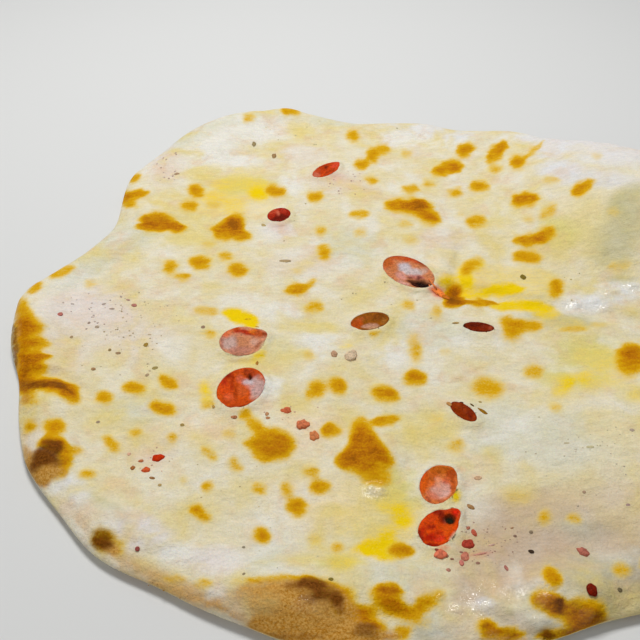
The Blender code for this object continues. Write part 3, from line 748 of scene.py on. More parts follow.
# The lips' points are joined across the faces between them, so that the lips run smoothly
at_lips(bmesh.ops.connect_verts)
bread_points = np.stack([x, y, z], axis=1)
seen_across, seen_down = seen_at(bread_points)
bread_mesh.vertices.foreach_set("co", bread_points.ravel())
bread_mesh.update()

# The skin is smooth, and the walls of the pockets are sharp against it
face_corners = np.empty(len(bread_mesh.loops), np.int32)
face_starts = np.empty(len(bread_mesh.polygons), np.int32)
bread_mesh.loops.foreach_get("vertex_index", face_corners)
bread_mesh.polygons.foreach_get("loop_start", face_starts)
on_wall = np.logical_or.reduceat(np.isfinite(pocket_floor)[face_corners], face_starts)
bread_mesh.polygons.foreach_set("use_smooth", ~on_wall)
paint(bread_mesh, "tone", tone)
paint(bread_mesh, "underneath", np.where(corners[:, 2] < 0, 1.0, 0.0))
for name, values in cover.items():
    paint(bread_mesh, name, np.where(on_top, values, 0.0))

# Points that were drawn to the same place on a lip become one
at_lips(bmesh.ops.remove_doubles, dist=LIP_MERGE)

MIX_FACTOR, MIX_A, MIX_B = 0, 6, 7  # the sockets of a Mix node that is set to colour


def new_material(name):
    """A material and its shader."""
    material = bpy.data.materials.new(name)
    material.use_nodes = True
    return material, material.node_tree.nodes["Principled BSDF"]


def set_sockets(material, node, sockets):
    """Gives each socket a value, or links an output to it. A node stands for its first output in use."""
    for name, value in sockets.items():
        if isinstance(value, bpy.types.Node):
            value = next(output for output in value.outputs if output.enabled)
        if isinstance(value, bpy.types.NodeSocket):
            material.node_tree.links.new(value, node.inputs[name])
        else:
            node.inputs[name].default_value = value


def add_node(material, kind, sockets, **settings):
    """Adds a node to a material, with its settings and what its sockets are given."""
    node = material.node_tree.nodes.new("ShaderNode" + kind)
    for name, setting in settings.items():
        setattr(node, name, setting)
    set_sockets(material, node, sockets)
    return node


# Baked wheat dough: a satin skin, cream where it is bare and gold to brown where it blistered.
# The crumb under it lets a little light through.
dough, dough_shader = new_material("oven_baked_wheat_dough")
place = add_node(dough, "TexCoord", {}).outputs["Object"]
marks = {}
for name in (*cover, "underneath"):
    marks[name] = add_node(dough, "Attribute", {}, attribute_name=name).outputs["Fac"]

PER_MILLIMETRE = 1000  # a pattern of 1 mm has this scale, because the coordinates are in metres

# Patterns: size in millimetres, how much longer they are along x, detail, roughness, distortion
PATTERNS = {
    "mottle": (15.0, 1.0, 3, 0.52, 0.3),  # the dough's floury and buttery clouds
    "blush": (10.0, 1.0, 3, 0.55, 0.3),  # its peach-coloured patches
    "streak": (1.5, 2.6, 4, 0.65, 0.0),  # the streaks along which it was drawn out
    "grain": (0.7, 1.0, 3, 0.65, 0.0),  # the skin's fine grain
    "wrinkles": (2.6, 1.4, 5, 0.62, 0.0),  # its wrinkles, a few tenths of a millimetre high
    "patches": (16.0, 1.0, 4, 0.48, 0.0),  # where the underside touched the oven's wall
}
pattern = {}
for name, (size, stretch, detail, roughness, distortion) in PATTERNS.items():
    drawn_out = add_node(dough, "Mapping", {"Vector": place, "Scale": (1 / stretch, 1.0, 1.0)})
    pattern[name] = add_node(dough, "TexNoise", {
        "Vector": drawn_out, "Scale": PER_MILLIMETRE / size, "Detail": detail, "Roughness": roughness,
        "Distortion": distortion})

# Clouds over the bare dough's tone: pattern, where a cloud starts and is full, its most, its colour
CLOUDS = (
    ("mottle", 0.50, 0.30, 0.70, 0xE2CC78),  # butter
    ("mottle", 0.50, 0.68, 0.60, 0xEAE6DC),  # flour
    ("blush", 0.52, 0.72, 0.50, 0xDFBE98),  # a peach flush
)
EVEN_SHARE = 0.2  # of their most that is left where the dough is even
skin = add_node(dough, "Attribute", {}, attribute_name="tone")
for name, start, full, most, colour in CLOUDS:
    strength = add_node(dough, "MapRange", {
        "Value": marks["even"], "To Min": most, "To Max": EVEN_SHARE * most})
    cloud = add_node(dough, "MapRange", {
        "Value": pattern[name], "From Min": start, "From Max": full, "To Max": strength})
    skin = add_node(dough, "Mix", {MIX_FACTOR: cloud, MIX_A: skin, MIX_B: linear(colour)}, data_type="RGBA")

# The streaks and the grain make it darker and paler: pattern, darkest and palest share of its colour
for name, darkest, palest in (("streak", 0.93, 1.05), ("grain", 0.93, 1.06)):
    shade = add_node(dough, "MapRange", {
        "Value": pattern[name], "From Min": 0.32, "From Max": 0.68, "To Min": darkest, "To Max": palest})
    skin = add_node(dough, "VectorMath", {0: skin, "Scale": shade}, operation="SCALE")

# A mark's strength wavers with the clouds, the streaks and the grain
waver = pattern["mottle"]
for name in ("streak", "grain"):
    waver = add_node(dough, "Math", {0: waver, 1: pattern[name]}, operation="ADD")
waver = add_node(dough, "MapRange", {
    "Value": waver, "From Min": 1.15, "From Max": 1.85, "To Min": 0.68, "To Max": 1.32})


def wavering(name, start, full, most, course="SMOOTHSTEP"):
    """A mark's wavering strength, from 0 at start to most at full."""
    frayed = add_node(dough, "Math", {0: marks[name], 1: waver}, operation="MULTIPLY")
    return add_node(dough, "MapRange", {
        "Value": frayed, "From Min": start, "From Max": full, "To Max": most}, interpolation_type=course)


# The browning runs through gold and amber to a deep brown as the mark grows stronger. The underside lay
# on the oven's wall: pale and floury, with scorched patches where it touched.
BROWNING = (
    (0.0, 0xE8CC62), (0.20, 0xE4BE38), (0.36, 0xDCAA10), (0.50, 0xD29800), (0.64, 0xC68400),
    (0.80, 0xB86E00), (1.0, 0x985800),
)
UNDER_TONES = ((0.0, 0xE0D2AC), (0.25, 0xD8B468), (0.55, 0xB87A20), (0.85, 0x7A4412), (1.0, 0x4E2A0C))
toasted = add_node(dough, "MapRange", {
    "Value": pattern["patches"], "From Min": 0.48, "From Max": 0.70, "To Max": 1.0})
ramps = []
for strength, stops in ((wavering("browning", 0.0, 1.0, 1.0, "LINEAR"), BROWNING), (toasted, UNDER_TONES)):
    ramps.append(add_node(dough, "ValToRGB", {"Fac": strength}))
    elements = ramps[-1].color_ramp.elements
    for number, (position, colour) in enumerate(stops):
        stop = elements[number] if number < 2 else elements.new(position)
        stop.position = position
        stop.color = linear(colour)

# Tan leather and scorched skin are speckled: their darker and their paler colour
speckle = add_node(dough, "MapRange", {
    "Value": pattern["grain"], "From Min": 0.38, "From Max": 0.62, "To Max": 1.0})
leather, scorch = (
    add_node(dough, "Mix", {MIX_FACTOR: speckle, MIX_A: linear(darker), MIX_B: linear(paler)},
             data_type="RGBA")
    for darker, paler in ((0xB87C22, 0xD8A656), (0x5C2E02, 0x80460A)))

# The marks lie over the skin in this order, and the underside has its own colour
LAYERS = (
    (wavering("juice", 0.0, 0.95, 1.0), linear(0xE06A48)),
    (wavering("saffron", 0.0, 0.90, 1.0), linear(0xF0CC00)),
    (wavering("browning", 0.0, 0.40, 1.0), ramps[0]),
    (wavering("tan", 0.05, 0.70, 1.0), leather),
    (wavering("char", 0.05, 0.75, 0.95), scorch),
    (marks["underneath"], ramps[1]),
)
for strength, colour in LAYERS:
    skin = add_node(dough, "Mix", {MIX_FACTOR: strength, MIX_A: skin, MIX_B: colour}, data_type="RGBA")

# The skin has fine wrinkles and a grain, and the butter on it has them lower: pattern, height, strength
BUMPS = {
    "Normal": (("wrinkles", 0.0010, 0.8), ("grain", 0.0003, 0.7)),
    "Coat Normal": (("wrinkles", 0.0006, 0.8), ("grain", 0.00015, 0.6)),
}
for socket, layers in BUMPS.items():
    normal = {}
    for name, height, strength in layers:
        bump = {"Height": pattern[name], "Distance": height, "Strength": strength}
        normal = {"Normal": add_node(dough, "Bump", bump | normal)}
    set_sockets(dough, dough_shader, {socket: normal["Normal"]})

# The dry skin is satin; melted butter coats it where it is moist and shines in small sparkles
set_sockets(dough, dough_shader, {
    "Base Color": skin, "Roughness": 0.55, "IOR": 1.44, "Specular IOR Level": 0.05, "Coat Roughness": 0.12,
    "Coat Weight": wavering("moist", 0.05, 0.8, 1.0), "Subsurface Weight": 0.12,
    "Subsurface Radius": (1.0, 0.7, 0.4), "Subsurface Scale": 0.002})

bread_mesh.materials.append(dough)
bread = add_object("naan", bread_mesh)
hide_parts("naan_bread")
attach(bread, "root")

# The cherry slices: rounds and slivers of candied cherries, pressed into the dough before it was baked.
# Their cut flesh is translucent, red to amber, with a hollow where the stone was; painted shadow darkens
# the hollows, and painted reflection of the lamp makes pale patches on the wet flesh.
# Each one is a disc in its pocket, with a soft edge, a low rim, a dip in the middle and wrinkled flesh.
FLESH_RINGS = 20  # of a slice's mesh, from its middle to its edge
FLESH_CROWDING = 1.4  # how much closer together the rings get at the edge
FLESH_RIM = 0.00008  # how far the flesh stands up just inside the edge
FLESH_RIM_PLACE = 0.84  # of the way out to the edge
FLESH_RIM_SPREAD = 0.20
FLESH_DIP = 0.00045  # how far it sinks in the middle
FLESH_DIP_REACH = 0.85
FLESH_WRINKLES = ((0.0032, 0.00020), (0.0014, 0.00010))  # length, height
FLESH_SWELL = 0.00030  # how far it fills the gap to its pocket
FLESH_EDGE = 0.00030  # the softened edge of its cut face
FLESH_RAGGED_PIXELS = 1.1  # how far the outlines of its colours wander
FLESH_RAGGED = 0.0022
FLESH_FRINGE, FLESH_DEPTH = 1.5, 3.0  # pixels over which a colour fades outside and grows inside its oval
HOLLOW_DEPTH = 0.0012
# Painted shadow in the hollows of the flesh, nearly black; the fourth slice's hollow has the same.
HOLLOW_SHADOW = 0x1E0A06  # dark inside the flesh

# The flesh's ground colour in each slice, in their order; the ninth and tenth, thin slivers deep under the
# dough's lip, are darkened with painted shade
FLESH_COLOURS = (
    0xD08A68, 0xD0500C, 0xE07838, 0xDC4804, 0xD08052, 0xA4240A, 0xCC4410, 0x96540A, 0x721E00, 0x8A2E02,
)

# Colours in the flesh, in the order in which they are laid: colour, strength in percent, oval. The pale
# pinkish grey ones are painted reflection of the lamp in the wet flesh, and the dark red bands along the
# slices' back edges are painted shadow of the dough's lip.
FLESH_MARKS_AND_PAINTED_LIGHT = (
    # the first slice
    (0xC6A89E, 85, 230, 343, 18, 15), (0xB87C6A, 70, 240, 350, 24, 8), (0xC98252, 60, 244, 341, 18, 12),
    (0xD4A490, 75, 254, 342, 10, 8), (0xDC6638, 85, 226, 333, 12, 10, 40),
    (0xD25426, 85, 234, 327, 18, 6, 20), (0xB42A04, 95, 240, 331, 34, 6, -12),
    (0xB44606, 90, 257, 333, 16, 9, -8), (0x8E3204, 90, 265, 334, 6, 4), (0xA8685A, 60, 222, 342, 4, 14),
    (0xA05634, 70, 259, 345, 10, 5, 40), (0x96644E, 60, 240, 355, 20, 4),
    (0x9A6A5A, 35, 236, 341, 4, 12, 10), (0xB87A5A, 40, 247, 345, 3, 9), (0xE8804A, 70, 230, 331, 10, 7),
    (0xC85008, 80, 237, 328, 8, 4, -10), (0xE87820, 75, 252, 331, 9, 6, -10),
    (0xE4CCA0, 95, 266, 347, 14, 12, 40), (0xDCC29A, 85, 257, 354, 18, 6, 26),
    # the second
    (0xC6AAA4, 85, 257, 386, 17, 24), (0xCCC4C8, 80, 248, 382, 13, 8), (0xDC4A10, 85, 226, 389, 17, 16),
    (0xDE6036, 75, 230, 398, 14, 9, -20), (0xBC2C0E, 85, 223, 381, 9, 11, 60),
    (0x8E1606, 90, 228, 375, 8, 10, -40), (0xCC4A12, 90, 239, 370, 22, 7, 3),
    (0xB44012, 90, 252, 373, 13, 10, -20), (0xA62E04, 80, 232, 382, 6, 20),
    (0xA63804, 80, 236, 392, 6, 17, -10), (0xD4664A, 75, 240, 379, 9, 9), (0xD25E2A, 70, 243, 390, 12, 14),
    (0xE09484, 55, 250, 386, 10, 6), (0xD0A494, 70, 254, 397, 10, 7, 20),
    (0xC4643C, 70, 260, 378, 8, 6, -30), (0xC6480C, 75, 240, 402, 26, 8, -4),
    (0xA03408, 60, 236, 406, 18, 3), (0xA8300C, 60, 225, 402, 7, 4, -40),
    (0x7E2406, 70, 246, 373, 4, 9, 10), (HOLLOW_SHADOW, 95, 250, 377, 5, 7, -20),
    # the third
    (0xDAA494, 85, 441, 490, 23, 19, 20), (0xB65804, 85, 442, 470, 28, 9),
    (0xA83C04, 85, 451, 474, 12, 12, -40), (0xB44A12, 80, 453, 484, 6, 18),
    (0xD24C0C, 90, 424, 482, 10, 24, -10), (0xCE5C12, 70, 432, 477, 14, 14, -30),
    (0xE08C62, 60, 438, 484, 8, 8), (0xD6603A, 75, 446, 481, 10, 8), (0xDA7656, 75, 432, 495, 16, 8, -30),
    (0xE4A082, 55, 438, 479, 8, 5), (0xC25C36, 75, 444, 501, 16, 5), (0xB24C34, 75, 428, 499, 9, 5, -40),
    (0xE06010, 80, 424, 485, 7, 16, -10), (0xE06420, 60, 432, 484, 8, 8),
    (0xC88474, 30, 438, 490, 3, 12, 30), (0xE0B8AC, 40, 446, 493, 10, 7),
    # the fourth
    (0x8A1404, 85, 437, 512, 12, 8), (0xDA4410, 75, 431, 518, 10, 12), (0xD8440C, 70, 424, 525, 8, 12),
    (0xA81A08, 80, 431, 527, 11, 6), (0xC23C14, 80, 448, 511, 12, 5), (0xD81E08, 90, 456, 513, 11, 10),
    (0xE0602E, 60, 460, 516, 4, 8), (0xD85208, 80, 446, 529, 20, 11, 35),
    (0xC42A06, 75, 436, 534, 18, 8, 20), (0xB41804, 85, 430, 538, 14, 9),
    (0xDE2E1C, 80, 440, 539, 12, 7, 20), (0xBE2208, 80, 422, 532, 7, 12, -20),
    (0x8E1008, 90, 421, 539, 7, 7, -30), (0x9A1004, 85, 432, 545, 14, 4), (0x6A1408, 80, 419, 533, 3, 6),
    (0x7A1404, 85, 442, 517, 9, 14, 10), (0xD8BC9C, 95, 456, 537, 20, 9, 50),
    (0x1C1E10, 100, 450, 519, 13, 11, -20), (0x8E4838, 55, 445, 521, 4, 7),
    # the fifth
    (0xA83004, 90, 392, 256, 16, 7, 10), (0xC65A1E, 75, 388, 262, 14, 13),
    (0xC2501C, 85, 402, 258, 20, 7, -10), (0xC24416, 85, 414, 260, 18, 6, -15),
    (0x8E3A1C, 85, 424, 263, 13, 8, -15), (0xB67666, 70, 429, 267, 5, 8),
    (0xCC6842, 70, 384, 266, 7, 13, -10), (0xCC7C4E, 70, 392, 272, 12, 10),
    (0xC8C4CC, 85, 404, 267, 15, 10), (0xCEC2C2, 85, 412, 272, 22, 9, -10),
    (0xD6988E, 80, 401, 276, 13, 8, -30), (0xC6AEA2, 65, 423, 271, 11, 7),
    (0xBE7066, 80, 416, 277, 18, 5, -6), (0xD8A8A0, 60, 403, 283, 14, 4, -20),
    (HOLLOW_SHADOW, 100, 422, 284, 21, 9, -8), (0x3A100A, 90, 412, 282, 12, 3, -14),
    (0xECD0A4, 95, 435, 268, 8, 20, 10), (0xB85A1C, 80, 386, 261, 10, 14), (0xC4703C, 60, 394, 268, 12, 9),
    (0x5A1E18, 85, 410, 278, 5, 3), (0x5A1E18, 85, 419, 278, 5, 3, 10),
    # the sixth
    (0x5E1206, 85, 280, 218, 20, 8, 14), (0xCC4C30, 85, 273, 211, 12, 7, 20),
    (0xBE3A26, 55, 284, 211, 8, 5, 10), (0xE08060, 55, 278, 213, 3, 5, 30), (0xB03018, 50, 270, 217, 6, 6),
    (0x8A1A0A, 60, 287, 214, 5, 5),
    # the seventh
    (0xDE4A30, 85, 336, 165, 11, 6, 25), (0xCC7A60, 65, 316, 175, 9, 7, 30),
    (0xAE3204, 65, 322, 169, 15, 7, 25), (0x5A1404, 70, 326, 167, 3, 3),
    (0x862406, 50, 330, 171, 12, 3, 30), (0xD05228, 50, 318, 170, 6, 4, 20),
    # the eighth
    (0x7A4008, 80, 380, 316, 18, 9, 12), (0xBE4A0E, 80, 357, 324, 14, 11, 20),
    (0xCC9A84, 70, 370, 326, 18, 5, 5), (0xA2541A, 55, 366, 318, 12, 5, 8), (0xA0682C, 70, 384, 321, 6, 8),
    (0xCC9C74, 60, 375, 328, 14, 5, 6), (0xC66030, 50, 360, 319, 8, 4, 20),
    # the ninth
    (0x5A1402, 60, 474, 325, 10, 3), (0x8A2A08, 55, 484, 328, 14, 4, -4), (0xB05030, 70, 491, 328, 4, 5),
    (0x2A1008, 70, 464, 327, 4, 6),
    # the tenth
    (0x6A1204, 60, 470, 415, 9, 7, -50), (0xA0400A, 55, 458, 406, 9, 7, -40),
    (0xA83E10, 40, 464, 411, 6, 4, -40),
)

# Hollows in the flesh: slice's number, percent of the full depth, oval
HOLLOWS = ((2, 70, 250, 377, 7, 8, -20), (4, 100, 450, 519, 13, 11, -20), (5, 100, 421, 284, 22, 8, -8))

# Candied cherry: sugar-soaked flesh with a wet gloss, in which light goes some way
FIBRE_SIZE = 1.1  # millimetres, of the flesh's lighter and darker fibres
PITH_SIZE = 0.45  # of the grain in it
cherry, cherry_shader = new_material("candied_cherry_flesh")
cherry_place = add_node(cherry, "TexCoord", {}).outputs["Object"]
flesh_colour = add_node(cherry, "Attribute", {}, attribute_name="flesh")
fibres = add_node(cherry, "TexNoise", {
    "Vector": cherry_place, "Scale": PER_MILLIMETRE / FIBRE_SIZE, "Detail": 4, "Roughness": 0.65,
    "Distortion": 0.8})
fibre_shade = add_node(cherry, "MapRange", {
    "Value": fibres, "From Min": 0.34, "From Max": 0.66, "To Min": 0.66, "To Max": 1.26})
fibrous = add_node(cherry, "VectorMath", {0: flesh_colour, "Scale": fibre_shade}, operation="SCALE")
pith = add_node(cherry, "TexNoise", {
    "Vector": cherry_place, "Scale": PER_MILLIMETRE / PITH_SIZE, "Detail": 2, "Roughness": 0.6})
pithy = add_node(cherry, "MapRange", {"Value": pith, "From Min": 0.58, "From Max": 0.74, "To Max": 0.10})
flecked = add_node(cherry, "Mix", {MIX_FACTOR: pithy, MIX_A: fibrous, MIX_B: linear(0xE8A070)},
                   data_type="RGBA")
fibre_bump = add_node(cherry, "Bump", {"Height": fibres, "Distance": 0.0006, "Strength": 0.7})
set_sockets(cherry, cherry_shader, {
    "Base Color": flecked, "Normal": fibre_bump, "Roughness": 0.34, "IOR": 1.46, "Specular IOR Level": 0.03,
    "Subsurface Weight": 0.05, "Subsurface Radius": (1.0, 0.25, 0.12), "Subsurface Scale": 0.0015})

for number, (slice_x, slice_y, half_length, half_width, turn, corner, corner_reach) in enumerate(SLICES, 1):
    disc = bmesh.new()
    bmesh.ops.create_grid(disc, x_segments=2 * FLESH_RINGS, y_segments=2 * FLESH_RINGS, size=1)
    raised = bmesh.ops.extrude_face_region(disc, geom=disc.faces[:])["geom"]
    raised = [piece for piece in raised if isinstance(piece, bmesh.types.BMVert)]
    bmesh.ops.translate(disc, verts=raised, vec=(0, 0, 1))
    bmesh.ops.recalc_face_normals(disc, faces=disc.faces[:])
    slice_mesh = mesh_from(disc, f"cherry_{number:02d}")

    corners = read_points(slice_mesh)
    on_face = corners[:, 2] > 0
    direction, ring = disc_place(corners[:, 0], corners[:, 1])
    share = 1 - (1 - ring) ** FLESH_CROWDING
    outline = slice_reach(direction, corner - turn, corner_reach)
    spots = np.zeros(corners.shape)
    spots[:, 0] = (half_length + FLESH_SWELL) * outline * share * np.cos(np.radians(direction))
    spots[:, 1] = (half_width + FLESH_SWELL) * outline * share * np.sin(np.radians(direction))
    inside = (1 - share) * half_width * outline
    edge_drop = FLESH_EDGE * (1 - np.sqrt(1 - (1 - np.minimum(1, inside / FLESH_EDGE)) ** 2))
    placement = slice_placement(slice_x, slice_y, turn)
    plan_x, plan_y, _ = moved(spots, placement).T
    flesh_top = sum(height * unevenness(plan_x, plan_y, length, layer=3.0 * number)
                    for length, height in FLESH_WRINKLES)
    flesh_top += FLESH_RIM * swell((share - FLESH_RIM_PLACE) / FLESH_RIM_SPREAD)
    flesh_top -= FLESH_DIP * (1 - ease(share / FLESH_DIP_REACH))
    flesh_top *= ease(inside / FLESH_EDGE)
    spots[:, 2] = np.where(on_face, SLICE_THICKNESS - edge_drop + flesh_top, 0)
    across, down = seen_at(moved(spots, placement))
    for slice_number, *hollow in HOLLOWS:
        if slice_number == number:
            sunk = covered(across, down, hollow, 0.0, FLESH_DEPTH)
            spots[:, 2] -= np.where(on_face, HOLLOW_DEPTH * sunk, 0)
    slice_mesh.vertices.foreach_set("co", moved(spots, placement).ravel())
    slice_mesh.update()
    slice_mesh.shade_smooth()

    across += FLESH_RAGGED_PIXELS * unevenness(plan_x, plan_y, FLESH_RAGGED, layer=51.0)
    down += FLESH_RAGGED_PIXELS * unevenness(plan_x, plan_y, FLESH_RAGGED, layer=63.0)
    flesh = np.tile(linear(FLESH_COLOURS[number - 1]), (len(corners), 1))
    for colour, *mark in FLESH_MARKS_AND_PAINTED_LIGHT:
        laid = covered(across, down, mark, FLESH_FRINGE, FLESH_DEPTH)[:, None]
        flesh += laid * (np.array(linear(colour)) - flesh)
    paint(slice_mesh, "flesh", flesh)
    slice_mesh.materials.append(cherry)
    cherry_slice = add_object(f"candied_cherry_{number:02d}", slice_mesh)
    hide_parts(f"cherry_slice_{number:02d}")
    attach(cherry_slice, "root")

# The cherry flecks: crumbs and shreds of the cherries' skin and flesh that stuck to the dough.
# Each is a flattened, uneven blob, half sunk. The larger ones have places and sizes of their own.
CRUMB_WIDTH = 0.8  # of its length
CRUMB_HEIGHT = 0.45
CRUMBS = (  # x, y, half length, turn, colour
    (-0.0896, -0.0931, 0.0019, 15, 0xCC3408), (-0.0927, -0.0982, 0.0015, 10, 0xD45C30),
    (-0.0479, -0.0727, 0.0020, 10, 0xCC6844), (-0.0422, -0.0790, 0.0025, 30, 0xD47850),
    (-0.0380, -0.0837, 0.0022, 110, 0xD88452), (-0.0243, -0.0454, 0.0029, 80, 0xDCC2A2),
    (-0.0307, -0.0442, 0.0016, 90, 0xC09878), (0.0082, -0.1256, 0.0020, 20, 0xB04030),
    (-0.0005, -0.1290, 0.0019, 0, 0xE07858), (0.0067, -0.1296, 0.0016, 60, 0xD08068),
    (0.0419, -0.1280, 0.0019, 140, 0xB46A58), (0.0401, -0.1416, 0.0018, 100, 0x741806),
)
FLECKS = (  # colour, oval
    (0xC47850, 141, 461, 6, 3), (0xA86A3A, 133, 468, 5, 4), (0xA87848, 152, 478, 6, 3, -10),
    (0xDCAC90, 129, 454, 4, 3), (0x9A5048, 137, 549, 5, 5), (0xB07248, 235, 413, 7, 3),
    (0xB87850, 234, 417, 7, 3), (0xC08A60, 267, 414, 4, 4, -20), (0xB07A50, 268, 418, 5, 3),
    (0xA47C50, 471, 507, 8, 4, -20), (0xB8745C, 468, 528, 5, 3, 20), (0xC05C44, 474, 533, 5, 8, 20),
    (0xD89A88, 480, 554, 16, 2, 12), (0xB8786A, 506, 568, 4, 6, 15), (0x944838, 437, 550, 5, 3, -20),
    (0xC08872, 448, 570, 5, 4), (0x9A6A58, 447, 556, 4, 3), (0xC8786A, 462, 563, 5, 6, 10),
    (0xFF8A4C, 434, 289, 14, 6, -38), (0xFF8A40, 440, 293, 13, 7, -30), (0xE88448, 433, 284, 13, 2, -46),
    (0xC8701C, 446, 297, 9, 5, -26), (0x9A6C14, 482, 411, 12, 4, -32), (0x5A4010, 472, 405, 5, 2, -40),
    (0xC08A50, 449, 404, 7, 4, -40), (0xA88A50, 456, 323, 8, 2, -5), (0xC07468, 60, 314, 5, 4),
    (0xB87C6C, 134, 305, 6, 3, -12), (0xC0988C, 128, 300, 5, 2, -10), (0xB08A68, 512, 528, 4, 2, 20),
    (0xD4AC88, 478, 478, 9, 4), (0xB08A60, 93, 369, 5, 3, -12), (0xD8B09C, 492, 545, 8, 2, 10),
)
FLECK_THICKNESS = 0.00025
CRUMB_DIVISIONS = 3
FLECK_DIVISIONS = 2
FLECK_RAGGED = 0.32  # how uneven an outline is, as a share of its reach
FLECK_BUMP = 0.0011  # how long the bites in it are


def on_bread(px, py):
    """Placement on the bread's top at a pixel of the picture, and the plane's metres for a pixel there."""
    seen = np.where(on_top, np.hypot(seen_across - px, seen_down - py), np.inf)
    height = bread_points[np.argmin(seen), 2]
    slope = (py - PICTURE_SIDE / 2) / FOCAL_PIXELS
    depth = (CAMERA_PLACE[2] - height) / (math.cos(CAMERA_TURN) + slope * math.sin(CAMERA_TURN))
    spot_x = CAMERA_PLACE[0] + depth * (px - PICTURE_SIDE / 2) / FOCAL_PIXELS
    spot_y = CAMERA_PLACE[1] + depth * (math.sin(CAMERA_TURN) - slope * math.cos(CAMERA_TURN))
    placement = lie_on_top(spot_x, spot_y)
    placement.translation.z = height
    sunken_angle = math.pi / 2 - CAMERA_TURN + math.atan(slope)
    return placement, depth / FOCAL_PIXELS, depth / FOCAL_PIXELS / math.sin(sunken_angle)


def blob_at_pixel(thickness, px, py, width, height, turn=0):
    """Matrix that lays a ball of radius 1 on the bread as an oval of the picture."""
    placement, across_size, down_size = on_bread(px, py)
    stretch = Matrix.Diagonal((across_size, down_size, 1, 1)) @ Matrix.Rotation(math.radians(turn), 4, "Z")
    return placement @ stretch @ Matrix.Diagonal((width / 2, height / 2, thickness, 1))


def add_blob(sheet, colours, colour, matrix, divisions):
    """Adds an uneven blob to a bmesh, and its colour to a list, once for each of its points."""
    centre = matrix.translation
    made = bmesh.ops.create_icosphere(sheet, subdivisions=divisions, radius=1, matrix=matrix)["verts"]
    for vertex in made:
        bite = FLECK_RAGGED * noise.noise(vertex.co / FLECK_BUMP)
        vertex.co = centre + (vertex.co - centre) * (1 + bite)
    colours.extend([colour] * len(made))


def blob_mesh(sheet, name, attribute, colours, material):
    """Turns a bmesh of blobs into a smooth mesh with their colours."""
    mesh = mesh_from(sheet, name)
    mesh.shade_smooth()
    paint(mesh, attribute, np.array(colours))
    mesh.materials.append(material)
    return mesh


fleck_sheet = bmesh.new()
fleck_colours = []
for crumb_x, crumb_y, half_length, turn, colour in CRUMBS:
    crumb_size = Matrix.Diagonal((half_length, half_length * CRUMB_WIDTH, half_length * CRUMB_HEIGHT, 1))
    matrix = lie_on_top(crumb_x, crumb_y) @ Matrix.Rotation(math.radians(turn), 4, "Z") @ crumb_size
    add_blob(fleck_sheet, fleck_colours, linear(colour), matrix, CRUMB_DIVISIONS)
for colour, *oval in FLECKS:
    matrix = blob_at_pixel(FLECK_THICKNESS, *oval)
    add_blob(fleck_sheet, fleck_colours, linear(colour), matrix, FLECK_DIVISIONS)
fleck_mesh = blob_mesh(fleck_sheet, "cherry_flecks", "flesh", fleck_colours, cherry)
flecks = add_object("cherry_flecks", fleck_mesh)
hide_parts("naan_bread")
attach(flecks, "root")

# The specks: bits of scorched flour from the oven's wall, and the finest dust of the cherries.
# They are baked onto the skin, dark brown to dull red, most of them less than a millimetre across.
SPECKS = (  # px, py, width, height, colour
    (531, 551, 6, 5, 0x3A2A1C), (523, 277, 6, 5, 0x7A6820), (182, 425, 5, 3, 0xA0864A),
    (110, 350, 4, 3, 0x8E784A), (118, 353, 6, 3, 0x9A7E5C), (72, 337, 5, 3, 0xA28A66),
    (98, 422, 4, 3, 0x9A886E), (146, 345, 6, 4, 0x967832), (155, 368, 6, 4, 0x9A8850),
    (147, 375, 4, 3, 0xA48C6C), (254, 144, 4, 4, 0x96845C), (274, 156, 5, 5, 0x9C7C52),
    (177, 174, 5, 3, 0xA68868), (203, 327, 5, 3, 0x967A60), (285, 261, 12, 3, 0xA89068),
    (264, 225, 5, 4, 0xB49C68), (244, 547, 4, 3, 0x92866E), (244, 574, 4, 3, 0x8E7E60),
    (331, 579, 6, 3, 0x84742E), (515, 536, 4, 3, 0x866A58), (531, 532, 4, 3, 0x86745C),
    (620, 590, 5, 4, 0x6C6044), (478, 563, 5, 3, 0x96725E), (97, 327, 5, 3, 0xA4927A),
    (89, 323, 3, 3, 0x9A8878), (112, 309, 6, 2, 0xA08C7C), (104, 304, 5, 2, 0xA8968A),
    (73, 304, 6, 2, 0xA89A90), (160, 485, 4, 3, 0xB0945E), (584, 492, 4, 3, 0xA68A70),
    (461, 403, 5, 3, 0x5A2408), (480, 402, 4, 2, 0xA48C4C),
    (248, 319, 7, 2, 0xE0B408), (256, 327, 6, 2, 0xB88A18), (257, 363, 3, 5, 0xA8742C),
    (214, 406, 4, 4, 0xB08A44), (452, 559, 4, 2, 0x8C6450), (461, 552, 4, 2, 0x966A58),
    (543, 637, 8, 3, 0x4A3A18), (567, 443, 6, 2, 0xBCB090), (540, 417, 5, 2, 0xBCB08C),
    (590, 447, 8, 3, 0xBEB48C), (632, 430, 5, 3, 0xA89684), (628, 505, 5, 3, 0xA68A80),
)
